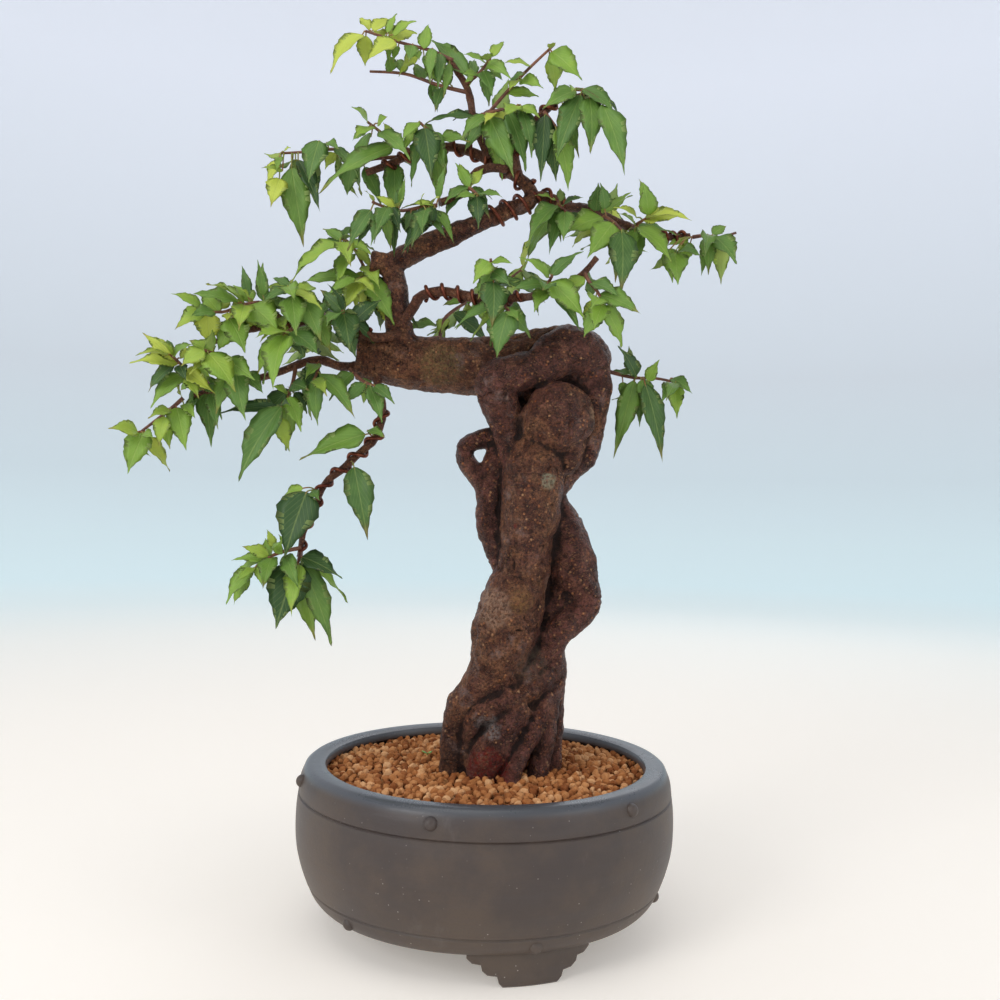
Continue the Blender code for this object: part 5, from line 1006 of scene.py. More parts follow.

# Leafy shoots: the twig of each, and each leaf's root, tip, width and tone
# (y yellow-green, b bright, m middle, d dark, p showing its pale underside; the tones are partly the leaf's
# own green and partly painted light and shade)
shoots = {
    "apex_tip_shoot": (
        [(-31, -13, 569), (-38, -13, 572), (-46, -14, 575), (-66, -16, 579), (-88, -18, 585)],
        [((-89, -20, 583), (-110, -26, 554), 20, "y"), ((-68, -19, 579), (-86, -27, 562), 15, "y"),
         ((-74, -16, 582), (-55, -6, 590), 15, "y"), ((-84, -18, 585), (-73, -4, 600), 10, "y"),
         ((-44, -17, 576), (-45, -23, 549), 9, "p"), ((-39, -14, 574), (-40, -24, 546), 9, "p"),
         ((-50, -17, 574), (-48, -9, 595), 10, "b"), ((-57, -20, 576), (-59, -26, 562), 10, "m")]),
    "apex_inner_shoot": (
        [(-23, -9, 555), (-14, -16, 559), (-6, -22, 567)],
        [((-8, -21, 564), (-24, -29, 567), 11, "b"), ((-8, -22, 565), (8, -32, 550), 11, "b"),
         ((-14, -17, 559), (-24, -23, 556), 9, "b"), ((-11, -18, 561), (-4, -26, 541), 12, "m"),
         ((-19, -12, 557), (-47, 4, 590), 12, "p")]),
    "green_twig_shoot": (
        [(-21, -8, 550), (-40, -6, 555), (-63, -4, 563), (-87, -2, 565)],
        [((-38, -7, 554), (-42, -15, 534), 9, "d"), ((-46, -6, 557), (-41, 0, 539), 9, "m"),
         ((-72, -4, 564), (-75, -12, 574), 11, "m"), ((-64, -4, 563), (-70, 2, 577), 9, "p"),
         ((-50, -6, 558), (-58, 4, 574), 10, "m")]),
    "top_right_shoot": (
        [(-14, -7, 527), (-1, -12, 542), (17, -16, 561), (35, -18, 578)],
        [((21, -18, 564), (2, -26, 563), 12, "b"), ((33, -20, 574), (54, -26, 552), 18, "b"),
         ((14, -17, 556), (29, -27, 546), 12, "b"), ((17, -16, 560), (5, -4, 555), 9, "m"),
         ((4, -14, 547), (27, -6, 549), 9, "b")]),
    "upper_centre_shoot": (
        [(-16, -8, 533), (-8, -16, 533), (1, -24, 533), (14, -30, 534)],
        [((-8, -18, 532), (-24, -30, 511), 13, "p"), ((-14, -12, 532), (-50, -6, 530), 11, "d"),
         ((-7, -20, 532), (11, -30, 487), 19, "p"), ((5, -27, 533), (19, -25, 493), 14, "m"),
         ((12, -32, 533), (4, -46, 521), 13, "b"), ((14, -31, 533), (27, -39, 524), 13, "b"),
         ((-2, -22, 532), (-9, -34, 520), 8, "y"), ((11, -28, 534), (26, -20, 507), 12, "m")]),
    "upper_right_shoot": (
        [(40, -23, 542), (50, -30, 545), (60, -36, 539), (67, -38, 533)],
        [((50, -31, 544), (28, -39, 529), 13, "p"), ((53, -33, 545), (75, -39, 526), 15, "p"),
         ((53, -33, 542), (37, -43, 495), 17, "m"), ((58, -35, 539), (59, -41, 499), 17, "m"),
         ((66, -38, 534), (80, -44, 482), 17, "p"), ((60, -33, 542), (80, -19, 532), 11, "d")]),
    "upper_right_hanging_shoot": (
        [(30, -21, 533), (33, -27, 527), (37, -30, 521)],
        [((30, -26, 531), (28, -32, 484), 14, "d"), ((34, -29, 525), (39, -37, 487), 15, "d"),
         ((32, -26, 528), (21, -38, 503), 12, "m"), ((37, -31, 520), (47, -45, 478), 15, "b")]),
    "left_wired_inner_shoot": (
        [(-36, 2, 517), (-40, -4, 521), (-48, -10, 525), (-52, -12, 528)],
        [((-49, -12, 526), (-43, -18, 488), 18, "d"), ((-45, -9, 524), (-34, -17, 494), 13, "m"),
         ((-52, -14, 528), (-63, -20, 513), 10, "b"), ((-40, -5, 520), (-18, -15, 515), 12, "p"),
         ((-42, -4, 521), (-39, 2, 475), 14, "m"), ((-47, -10, 525), (-59, -2, 489), 12, "m")]),
    "left_wired_twig_shoot": (
        [(-58, 6, 514), (-70, 3, 518), (-79, 0, 525), (-88, -3, 531)],
        [((-69, 1, 517), (-119, -13, 480), 20, "p"), ((-87, -4, 530), (-97, -14, 537), 17, "b"),
         ((-85, -3, 528), (-94, -15, 516), 14, "b"), ((-63, 4, 516), (-60, -4, 522), 9, "b")]),
    "left_tip_shoot": (
        [(-69, 14, 513), (-83, 17, 513), (-97, 19, 512), (-111, 19, 519), (-125, 20, 518),
         (-137, 20, 517), (-150, 20, 516)],
        [((-122, 10, 523), (-128, 4, 491), 18, "m"), ((-113, 15, 520), (-94, 5, 496), 9, "m"),
         ((-118, 13, 522), (-107, 3, 514), 8, "m"), ((-138, 16, 512), (-120, 8, 473), 12, "d"),
         ((-142, 15, 507), (-133, 7, 450), 21, "m"), ((-149, 12, 497), (-152, 4, 473), 15, "y"),
         ((-147, 14, 502), (-160, 4, 501), 8, "b"), ((-141, 18, 511), (-158, 28, 511), 13, "m"),
         ((-140, 19, 513), (-135, 33, 488), 12, "m")]),
    "middle_left_tip_shoot": (
        [(-39, -24, 470), (-47, -28, 468), (-63, -32, 464), (-79, -40, 467)],
        [((-39, -32, 468), (-60, -38, 435), 14, "d"), ((-42, -35, 465), (-53, -47, 435), 15, "d"),
         ((-45, -38, 464), (-45, -46, 440), 12, "m"), ((-40, -31, 468), (-62, -27, 467), 9, "b"),
         ((-44, -36, 464), (-29, -42, 450), 10, "d"), ((-64, -34, 464), (-78, -40, 471), 9, "y"),
         ((-67, -37, 465), (-60, -45, 447), 9, "d"), ((-69, -38, 465), (-74, -44, 439), 12, "m"),
         ((-71, -39, 466), (-68, -31, 439), 8, "p"), ((-66, -35, 465), (-67, -25, 436), 7, "d"),
         ((-63, -32, 464), (-61, -24, 485), 6, "p")]),
    "middle_left_base_shoot": (
        [(-21, -15, 486), (-16, -22, 481), (-12, -28, 476)],
        [((-19, -18, 485), (-34, -26, 471), 11, "p"), ((-16, -23, 481), (-4, -29, 461), 10, "d"),
         ((-13, -27, 477), (4, -35, 472), 9, "p"), ((-18, -20, 483), (-28, -16, 501), 9, "b"),
         ((-13, -28, 476), (-11, -32, 449), 11, "d")]),
    "right_inner_shoot": (
        [(40, 5, 483), (42, -4, 477), (46, -12, 471)],
        [((43, -6, 475), (35, -14, 442), 12, "m"), ((45, -11, 472), (44, -19, 450), 14, "p"),
         ((41, -2, 479), (19, -14, 441), 16, "m"), ((43, -6, 476), (57, -16, 480), 9, "d"),
         ((40, 1, 482), (25, -7, 483), 9, "b")]),
    "right_middle_shoot": (
        [(64, 12, 479), (72, 4, 473), (78, -4, 467), (83, -10, 460)],
        [((72, 2, 472), (46, -6, 458), 20, "b"), ((78, -6, 466), (60, -20, 439), 20, "b"),
         ((67, 8, 476), (68, 2, 495), 13, "m"), ((81, -9, 462), (80, -11, 425), 14, "d"),
         ((83, -10, 460), (81, -20, 412), 20, "d"), ((75, 0, 470), (79, 4, 441), 12, "m"),
         ((70, 6, 474), (93, 0, 488), 11, "b")]),
    "right_outer_shoot": (
        [(93, 18, 469), (97, 8, 470), (103, -2, 472)],
        [((95, 12, 469), (81, 2, 475), 10, "b"), ((98, 4, 470), (125, -8, 471), 15, "y"),
         ((100, 1, 471), (126, -15, 461), 13, "y"), ((95, 12, 469), (119, 2, 442), 18, "b"),
         ((97, 12, 470), (91, 18, 434), 14, "p"), ((102, -4, 471), (97, -10, 492), 13, "b"),
         ((94, 16, 469), (125, 20, 465), 10, "m")]),
    "right_tip_shoot": (
        [(137, 29, 466), (145, 28, 467), (155, 24, 465), (166, 22, 468)],
        [((120, 18, 456), (121, 12, 430), 13, "b"), ((122, 12, 452), (123, 2, 427), 17, "b"),
         ((123, 12, 451), (135, 2, 440), 10, "m"), ((120, 17, 455), (108, 9, 440), 11, "b"),
         ((147, 26, 467), (147, 20, 438), 12, "m"), ((151, 24, 466), (164, 12, 443), 20, "p"),
         ((156, 20, 462), (159, 16, 432), 13, "b"), ((147, 26, 468), (140, 14, 444), 11, "m"),
         ((150, 26, 467), (161, 30, 475), 9, "m")]),
    "lower_right_inner_shoot": (
        [(0, -29, 410), (-2, -33, 423), (-3, -38, 433)],
        [((-3, -37, 432), (-14, -43, 416), 13, "b"), ((-3, -37, 431), (11, -45, 429), 9, "b"),
         ((-2, -35, 426), (10, -43, 415), 11, "m"), ((-1, -36, 420), (-1, -46, 388), 19, "d"),
         ((-1, -32, 417), (15, -26, 423), 9, "m"), ((-2, -34, 425), (-11, -30, 408), 10, "m")]),
    "lower_right_front_shoot": (
        [(5, -30, 408), (7, -37, 403), (10, -43, 398)],
        [((9, -42, 400), (2, -52, 368), 21, "m"), ((6, -33, 406), (-26, -37, 389), 11, "m"),
         ((8, -38, 402), (-16, -36, 381), 10, "b"), ((7, -38, 402), (24, -36, 383), 15, "m"),
         ((9, -40, 400), (-3, -36, 378), 10, "m")]),
    "lower_right_middle_shoot": (
        [(32, -33, 414), (34, -40, 418), (36, -46, 421)],
        [((35, -44, 420), (15, -50, 432), 14, "b"), ((34, -40, 417), (10, -48, 411), 14, "m"),
         ((34, -42, 419), (57, -50, 394), 18, "b"), ((33, -37, 415), (25, -47, 398), 12, "b"),
         ((35, -45, 421), (56, -41, 439), 12, "m"), ((33, -38, 416), (56, -40, 387), 9, "m"),
         ((33, -36, 415), (50, -30, 402), 9, "p")]),
    "lower_right_tip_shoot": (
        [(57, -35, 426), (60, -40, 419), (65, -44, 412), (68, -48, 404)],
        [((65, -44, 411), (92, -50, 398), 15, "m"), ((68, -48, 404), (62, -56, 386), 14, "b"),
         ((66, -46, 408), (59, -56, 395), 16, "b"), ((68, -48, 404), (82, -54, 376), 15, "b"),
         ((60, -40, 419), (78, -44, 407), 12, "m"), ((58, -37, 423), (41, -45, 409), 11, "b"),
         ((59, -39, 421), (63, -31, 411), 10, "m")]),
    "left_upper_shoot": (
        [(-72, 2, 410), (-83, 2, 421), (-89, 4, 435), (-98, 6, 450), (-105, 4, 454)],
        [((-103, -6, 450), (-137, -16, 418), 18, "b"), ((-102, 0, 451), (-131, 10, 443), 11, "m"),
         ((-104, -7, 450), (-94, -19, 429), 13, "b"), ((-101, -1, 451), (-81, -9, 440), 11, "b"),
         ((-103, -3, 451), (-118, 5, 461), 9, "m"), ((-88, -10, 425), (-99, -18, 401), 19, "y"),
         ((-91, -12, 424), (-111, -8, 406), 10, "b"), ((-88, -6, 427), (-66, -18, 393), 17, "b"),
         ((-87, -2, 428), (-51, -16, 393), 15, "d"), ((-89, -3, 427), (-133, 11, 425), 12, "b"),
         ((-92, -13, 423), (-75, -19, 407), 10, "y")]),
    "left_inner_lower_shoot": (
        [(-90, -21, 389), (-93, -27, 394), (-98, -32, 399)],
        [((-97, -32, 399), (-91, -40, 372), 18, "d"), ((-92, -26, 392), (-74, -20, 409), 14, "d"),
         ((-96, -29, 397), (-114, -23, 414), 11, "d"), ((-93, -28, 394), (-78, -36, 377), 13, "d"),
         ((-97, -31, 398), (-103, -43, 382), 12, "m")]),
    "left_shoulder_shoot": (
        [(-113, -25, 394), (-119, -30, 402), (-125, -34, 408), (-132, -37, 413)],
        [((-123, -35, 407), (-109, -41, 377), 18, "m"), ((-131, -37, 412), (-146, -45, 401), 14, "m"),
         ((-127, -34, 410), (-150, -26, 414), 12, "b"), ((-132, -38, 413), (-122, -48, 397), 13, "b"),
         ((-120, -31, 403), (-130, -43, 389), 14, "m"), ((-131, -36, 413), (-143, -32, 419), 8, "m")]),
    "left_top_shoot": (
        [(-132, -29, 390), (-141, -34, 397), (-148, -38, 402), (-158, -42, 400), (-171, -47, 394),
         (-183, -50, 395)],
        [((-156, -41, 401), (-134, -49, 381), 24, "b"), ((-148, -37, 403), (-124, -43, 394), 16, "m"),
         ((-154, -38, 402), (-168, -34, 414), 13, "b"), ((-159, -40, 401), (-175, -44, 405), 14, "b"),
         ((-157, -41, 401), (-167, -51, 393), 12, "y"), ((-147, -36, 402), (-150, -30, 430), 9, "m"),
         ((-158, -42, 400), (-154, -52, 377), 15, "b"), ((-180, -50, 395), (-198, -56, 381), 14, "b"),
         ((-172, -47, 393), (-186, -43, 408), 12, "b"), ((-179, -51, 394), (-179, -59, 371), 16, "y"),
         ((-163, -44, 388), (-174, -54, 369), 18, "b"), ((-181, -50, 395), (-198, -44, 400), 10, "b"),
         ((-167, -46, 391), (-154, -54, 368), 18, "b"), ((-175, -49, 394), (-186, -59, 388), 11, "m")]),
    "left_heart_shoot": (
        [(-128, -30, 388), (-129, -40, 385), (-132, -48, 381)],
        [((-129, -42, 384), (-110, -52, 368), 21, "m"), ((-131, -47, 382), (-139, -53, 364), 17, "b"),
         ((-128, -36, 386), (-121, -34, 368), 15, "d"), ((-131, -50, 381), (-132, -56, 341), 20, "b"),
         ((-130, -45, 383), (-144, -53, 372), 14, "b")]),
    "left_front_shoot": (
        [(-160, -26, 354), (-166, -36, 362), (-173, -46, 367), (-180, -54, 369)],
        [((-178, -53, 368), (-158, -59, 343), 20, "b"), ((-164, -38, 360), (-155, -46, 326), 17, "m"),
         ((-169, -42, 365), (-148, -52, 351), 15, "b"), ((-175, -49, 367), (-191, -45, 375), 13, "b"),
         ((-179, -55, 369), (-192, -61, 358), 14, "b"), ((-162, -33, 358), (-146, -41, 344), 14, "m")]),
    "left_outer_shoot": (
        [(-191, -30, 346), (-194, -38, 354), (-196, -44, 360), (-202, -48, 366)],
        [((-195, -45, 358), (-173, -51, 342), 11, "y"), ((-197, -46, 361), (-228, -50, 361), 15, "y"),
         ((-199, -47, 363), (-221, -43, 380), 10, "y"), ((-201, -48, 365), (-223, -40, 370), 12, "m"),
         ((-195, -40, 356), (-215, -48, 333), 15, "b"), ((-199, -45, 362), (-217, -39, 342), 13, "d"),
         ((-201, -49, 366), (-185, -55, 373), 12, "b")]),
    "left_hanging_shoot": (
        [(-182, -27, 348), (-188, -20, 354), (-193, -14, 360)],
        [((-190, -17, 356), (-183, -21, 310), 17, "p"), ((-186, -22, 353), (-200, -24, 319), 12, "p"),
         ((-193, -14, 359), (-180, -6, 329), 13, "p"), ((-192, -16, 358), (-209, -8, 347), 12, "m")]),
    "left_end_tip_shoot": (
        [(-199, -31, 341), (-207, -33, 333), (-215, -35, 326), (-224, -38, 318)],
        [((-203, -33, 336), (-194, -39, 307), 16, "b"), ((-208, -40, 329), (-210, -44, 309), 11, "b"),
         ((-205, -36, 333), (-216, -44, 326), 10, "b"), ((-221, -37, 320), (-229, -45, 291), 17, "b"),
         ((-223, -38, 319), (-239, -32, 294), 13, "b"), ((-224, -39, 318), (-238, -43, 318), 13, "b")]),
    "left_bottom_shoot": (
        [(-129, -21, 364), (-130, -26, 352), (-134, -30, 341), (-138, -33, 333)],
        [((-134, -33, 339), (-160, -43, 288), 19, "p"), ((-132, -31, 344), (-121, -39, 320), 13, "b"),
         ((-136, -31, 336), (-178, -27, 332), 10, "d"), ((-131, -27, 349), (-149, -23, 328), 14, "d"),
         ((-130, -29, 352), (-117, -37, 347), 14, "d"), ((-132, -29, 346), (-141, -37, 349), 9, "b")]),
    "limb_end_shoot": (
        [(-114, -18, 368), (-114, -26, 360), (-115, -33, 354)],
        [((-114, -31, 357), (-112, -37, 324), 12, "m"), ((-113, -28, 360), (-87, -36, 330), 14, "m"),
         ((-114, -33, 355), (-103, -41, 341), 10, "b"), ((-113, -24, 363), (-126, -34, 346), 14, "d")]),
    "limb_under_shoot": (
        [(-95, -12, 364), (-86, -20, 356), (-77, -26, 352)],
        [((-92, -16, 362), (-107, -22, 342), 12, "m"), ((-83, -24, 354), (-96, -30, 338), 10, "m"),
         ((-80, -26, 352), (-70, -36, 327), 12, "m"), ((-77, -28, 352), (-62, -36, 339), 10, "m")]),
    "cascade_tip_shoot": (
        [(-122, -29, 243), (-122, -34, 239), (-122, -38, 235)],
        [((-122, -36, 239), (-134, -44, 195), 28, "d"), ((-122, -32, 240), (-100, -30, 183), 17, "m"),
         ((-122, -32, 241), (-93, -38, 227), 17, "d"), ((-121, -38, 237), (-122, -32, 202), 14, "b"),
         ((-121, -33, 238), (-94, -23, 206), 9, "b")]),
    "cascade_young_shoot": (
        [(-122, -29, 246), (-131, -36, 244), (-140, -42, 240), (-149, -46, 232)],
        [((-139, -42, 241), (-156, -46, 247), 9, "b"), ((-141, -43, 239), (-164, -49, 237), 8, "b"),
         ((-143, -44, 237), (-162, -46, 228), 8, "b"), ((-148, -46, 234), (-164, -52, 211), 14, "b"),
         ((-140, -41, 240), (-144, -37, 252), 7, "b"), ((-144, -45, 236), (-141, -53, 223), 8, "b"),
         ((-135, -40, 242), (-131, -44, 252), 8, "b"), ((-138, -40, 241), (-138, -48, 220), 12, "m")]),
    "right_low_shoot": (
        [(79, 14, 369), (88, 16, 367), (98, 14, 365), (111, 14, 365), (125, 10, 362)],
        [((97, 12, 365), (82, 4, 309), 15, "p"), ((102, 4, 362), (115, -2, 307), 15, "d"),
         ((100, 8, 364), (107, 10, 342), 12, "p"), ((104, 2, 361), (111, -2, 376), 10, "b"),
         ((98, 12, 365), (84, 6, 386), 12, "d"), ((98, 10, 365), (81, 2, 367), 11, "m"),
         ((123, 12, 363), (125, 6, 337), 12, "b"), ((122, 15, 366), (134, 9, 353), 10, "m"),
         ((124, 9, 362), (114, 1, 345), 10, "m")]),
    "back_shoot": (
        [(-38, 22, 391), (-35, 38, 408), (-19, 58, 424), (3, 78, 440), (18, 92, 454)],
        [((-35, 40, 410), (-54, 62, 384), 17, "b"), ((-31, 44, 413), (-4, 56, 392), 16, "d"),
         ((-24, 53, 420), (-48, 78, 404), 17, "m"), ((-18, 60, 425), (6, 66, 398), 15, "b"),
         ((-12, 66, 430), (-32, 98, 418), 18, "m"), ((-5, 72, 435), (24, 82, 414), 16, "d"),
         ((2, 78, 440), (-14, 108, 424), 17, "y"), ((8, 84, 445), (38, 90, 430), 15, "m"),
         ((14, 89, 450), (4, 122, 434), 17, "b"), ((18, 92, 454), (42, 114, 450), 16, "d"),
         ((-15, 63, 427), (-4, 88, 452), 14, "m"), ((4, 80, 441), (24, 102, 464), 14, "b")]),
    "back_left_shoot": (
        [(-112, -20, 395), (-117, 8, 404), (-126, 36, 404), (-136, 60, 396)],
        [((-116, 2, 402), (-146, 8, 386), 16, "m"), ((-118, 10, 404), (-96, 34, 394), 16, "d"),
         ((-120, 18, 405), (-152, 32, 392), 17, "y"), ((-123, 28, 405), (-104, 56, 388), 16, "m"),
         ((-126, 36, 404), (-160, 50, 384), 17, "b"), ((-130, 46, 401), (-116, 76, 380), 16, "d"),
         ((-136, 60, 396), (-158, 78, 376), 16, "m"), ((-136, 60, 396), (-138, 92, 388), 15, "b"),
         ((-122, 24, 405), (-136, 40, 430), 13, "m")]),
    "back_right_shoot": (
        [(60, 13, 480), (70, 38, 490), (82, 64, 488), (90, 82, 482)],
        [((68, 34, 489), (42, 46, 468), 16, "d"), ((70, 40, 490), (98, 50, 472), 16, "y"),
         ((74, 48, 490), (50, 72, 474), 16, "m"), ((78, 56, 489), (106, 74, 476), 17, "b"),
         ((82, 64, 488), (64, 94, 470), 16, "d"), ((86, 73, 485), (114, 90, 468), 15, "m"),
         ((90, 82, 482), (84, 112, 464), 16, "b"), ((76, 52, 490), (88, 68, 514), 14, "m")]),
    "back_top_shoot": (
        [(-16, -5, 530), (-8, 16, 546), (2, 36, 554), (8, 52, 556)],
        [((-10, 12, 543), (-34, 24, 526), 14, "d"), ((-6, 20, 548), (20, 26, 530), 15, "y"),
         ((-2, 28, 551), (-24, 50, 534), 15, "m"), ((2, 36, 554), (28, 50, 540), 15, "b"),
         ((5, 44, 555), (-10, 72, 538), 15, "d"), ((8, 52, 556), (26, 76, 546), 14, "m"),
         ((0, 32, 553), (6, 44, 580), 13, "b")]),
}
leaf = {
    # share of the length, and half the width there as a share of the widest
    "outline": [(0.015, 0.2), (0.05, 0.47), (0.1, 0.7), (0.16, 0.87), (0.23, 0.97), (0.31, 1.0),
                (0.39, 0.96), (0.47, 0.86), (0.55, 0.73), (0.63, 0.57), (0.71, 0.4), (0.79, 0.25),
                (0.87, 0.13), (0.94, 0.055)],
    "across": (-1, -0.5, 0, 0.5, 1), "tooth": 0.055, "thickness": 0.008, "arch": 0.28, "turn": 16,
    "variants": 9, "stalkRadius": 0.5, "twigRadius": 1.1, "padding": 3.3,
    "leans": (0, -4, 4, -8, 8, -12, 12, -16, 16, -20, 20, -25, 25),
    "youngShare": 0.85, "youngTries": 6, "youngSize": (0.55, 0.95), "youngTurn": (35, 130),
    # d, m, b and y are partly each leaf's own green and partly painted light: darker for leaves in shade,
    # yellow-green for highlit ones
    "tones": {"d": 0.05, "m": 0.36, "b": 0.68, "y": 1.0, "p": 0.4},
    "greens": [(0.0, tint(50, 80, 36)), (0.35, tint(90, 126, 54)), (0.7, tint(132, 166, 60)),
               (1.0, tint(186, 198, 76))],
    "vein": tint(190, 206, 116), "scorch": tint(150, 110, 60), "underside": tint(146, 162, 96),
    "twig": (tint(92, 54, 42), tint(134, 84, 60)), "stalk": (tint(150, 92, 60), tint(136, 150, 66)),
}


def leafMesh(number):
    # a folded, toothed blade along +y, one long and two half-widths wide, with a pale underside
    chance = random.Random(100 + number)
    fold = chance.uniform(0.1, 0.24)
    wave = chance.uniform(0.01, 0.035)
    droop = chance.uniform(0.0, 0.16)
    sway = chance.uniform(-0.07, 0.07)
    twist = chance.uniform(-0.5, 0.5)
    phase = chance.uniform(0, 6)
    shape = bmesh.new()

    def spot(t, u, half, side):
        x = u * half * 0.5 + sway * math.sin(t * math.pi) * 0.4
        z = leaf["arch"] * t * (1 - t) - droop * max(0.0, t - 0.5) ** 2
        z += fold * abs(u) * half * 0.35 + wave * math.sin(t * 15 + phase + u) * u * u
        z += u * half * 0.5 * twist * (t - 0.25)
        return (x, t, z - side * leaf["thickness"] * (1 - abs(u)))

    rows = []
    for row, (t, half) in enumerate(leaf["outline"]):
        tooth = 1 + leaf["tooth"] if row % 2 else 1 - leaf["tooth"] * 0.6
        forward = 0.014 if row % 2 else 0.0
        top, below = [], []
        for u in leaf["across"]:
            if abs(u) == 1:
                top.append(shape.verts.new(spot(t + forward, u, half * tooth, 0)))
                below.append(top[-1])
            else:
                top.append(shape.verts.new(spot(t, u, half, 0)))
                below.append(shape.verts.new(spot(t, u, half, 1)))
        rows.append((top, below))
    base, tip = shape.verts.new(spot(0, 0, 0, 0)), shape.verts.new(spot(1, 0, 0, 0))
    faces = []
    for side in (0, 1):
        for row, following in zip(rows, rows[1:]):
            for a, b, c, d in zip(row[side], row[side][1:], following[side][1:], following[side]):
                faces.append((shape.faces.new((a, b, c, d) if side == 0 else (d, c, b, a)), side))
        for a, b in zip(rows[0][side], rows[0][side][1:]):
            faces.append((shape.faces.new((base, b, a) if side == 0 else (a, b, base)), side))
        for a, b in zip(rows[-1][side], rows[-1][side][1:]):
            faces.append((shape.faces.new((a, b, tip) if side == 0 else (tip, b, a)), side))
    layout = shape.loops.layers.uv.new("blade")
    for face, _ in faces:
        for loop in face.loops:
            loop[layout].uv = (loop.vert.co.x + 0.5, loop.vert.co.y)
    under = [float(side) for _, side in faces]
    mesh = bpy.data.meshes.new(f"leaf{number}")
    shape.to_mesh(mesh)
    shape.free()
    mesh.attributes.new("under", "FLOAT", "FACE").data.foreach_set("value", under)
    mesh.shade_smooth()
    return mesh


def leafTree():
    graph, given = geometryTree("hangLeaves", {"Leaves": "Collection", "Finish": "Material"})
    shapes = graph.node("GeometryNodeCollectionInfo", {}, {"Collection": given["Leaves"],
                                                            "Separate Children": True,
                                                            "Reset Children": True})
    aim = graph.node("GeometryNodeInputNamedAttribute", {"data_type": "FLOAT_VECTOR"}, {"Name": "aim"})
    size = graph.node("GeometryNodeInputNamedAttribute", {"data_type": "FLOAT_VECTOR"}, {"Name": "size"})
    which = graph.node("GeometryNodeInputNamedAttribute", {"data_type": "INT"}, {"Name": "variant"})
    spin = graph.node("FunctionNodeEulerToRotation", {}, {0: aim})
    blades = graph.node("GeometryNodeInstanceOnPoints", {}, {
        "Points": given["Geometry"], "Instance": shapes, "Pick Instance": True,
        "Instance Index": which, "Rotation": spin, "Scale": size})
    endTree(graph, blades, given["Finish"])
    return graph.tree


def leafPaint():
    paint = Paint("leafBlade", {"Specular IOR Level": 0.4})
    tone = paint.read("tone")
    under = paint.read("under")
    chance = paint.read("chance")
    layout = paint.node("ShaderNodeUVMap", {"uv_map": "blade"}, {})
    u = abs(paint.node("ShaderNodeSeparateXYZ", {}, {0: layout}, "X") - 0.5)
    v = paint.node("ShaderNodeSeparateXYZ", {}, {0: layout}, "Y")
    blotch = paint.cloud(90, 4, 0.6)
    colour = paint.node("ShaderNodeValToRGB", {"stops": leaf["greens"]},
                        {0: tone + (blotch - 0.5) * 0.35 + (chance - 0.5) * 0.25})
    middleVein = u.fall(0.008, 0.03)
    sideVeins = abs((v * 8.0 - u * 9.0).part() - 0.5).fall(0.03, 0.12) * u.fall(0.3, 0.45)
    vein = middleVein + sideVeins * 0.5
    colour = paint.mix(vein * 0.16, colour, leaf["vein"])
    edge = (v + abs(v - 0.4) * 0.4).rise(0.86, 1.15) * chance.rise(0.5, 0.9)
    colour = paint.mix(edge * 0.5, colour, leaf["scorch"])
    pale = paint.mix(0.55, colour, leaf["underside"])
    paint.feed("Base Color", paint.mix(under, colour, pale))
    paint.feed("Roughness", 0.42 + under * 0.25 + blotch * 0.12)
    paint.bump((1.0 - vein) * 0.7 + paint.cloud(700, 3) * 0.35, 0.5, 0.0005)
    return paint.material


def twigPaint(name, shades):
    paint = Paint(name, {"Roughness": 0.55})
    blotch = paint.cloud(140, 4, 0.6)
    paint.feed("Base Color", paint.mix(blotch.rise(0.35, 0.65), *shades))
    paint.bump(blotch, 0.3, 0.0004)
    return paint.material


def bladeFrame(root, tip, turn):
    # the blade's side, length and face directions: it faces up and to the front unless turned
    heading = (tip - root).normalized()
    side = heading.cross(Vector((0, -0.8, 0.6))).normalized()
    side.rotate(Quaternion(heading, math.radians(turn)))
    return side, heading, side.cross(heading).normalized()


def coarseBlade(root, tip, width, turn):
    # a padded outline of a blade, to test whether two leaves would touch
    side, heading, face = bladeFrame(root, tip, turn)
    along = tip - root
    points = []
    for share, half in ((0.16, 0.4), (0.38, 0.5), (0.68, 0.34)):
        middle = root + along * share + face * along.length * leaf["arch"] * share * (1 - share)
        half *= width
        points += [middle - side * half + face * leaf["padding"] / 2,
                   middle + side * half + face * leaf["padding"] / 2, middle - face * leaf["padding"] / 2]
    points.append(tip)
    faces = [(2, 1, 0), (6, 7, 9), (7, 8, 9), (8, 6, 9)]
    for start in (0, 3):
        faces += [(start + k, start + (k + 1) % 3, start + 3 + (k + 1) % 3, start + 3 + k) for k in range(3)]
    return BVHTree.FromPolygons(points, faces)


def nearestOn(path, spot):
    # the point of a twig's path that a leaf's stalk grows from
    best = None
    for start, end in zip(path, path[1:]):
        start, end = Vector(start[:3]), Vector(end[:3])
        share = (spot - start).dot(end - start) / (end - start).length_squared
        point = start.lerp(end, min(max(share, 0.03), 0.97))
        if best is None or (point - spot).length < (best - spot).length:
            best = point
    return best


placedBlades = []


def roomFor(root, tip, width, turn):
    # keeps the blade and answers True where it touches no other
    blade = coarseBlade(root, tip, width, turn)
    if any(blade.overlap(other) for other in placedBlades):
        return False
    placedBlades.append(blade)
    return True


def layLeaf(root, tip, width, tone, path, chance):
    # a drawn leaf, leant to the front or back until its blade is clear of the others
    turn = chance.uniform(-leaf["turn"], leaf["turn"])
    for lean in leaf["leans"]:
        leant = tip + Vector((0, lean, abs(lean) * 0.12))
        if roomFor(root, leant, width, turn):
            break
    return {"holder": nearestOn(path, root), "root": root, "tip": leant, "width": width, "turn": turn,
            "tone": leaf["tones"][tone], "under": tone == "p"}


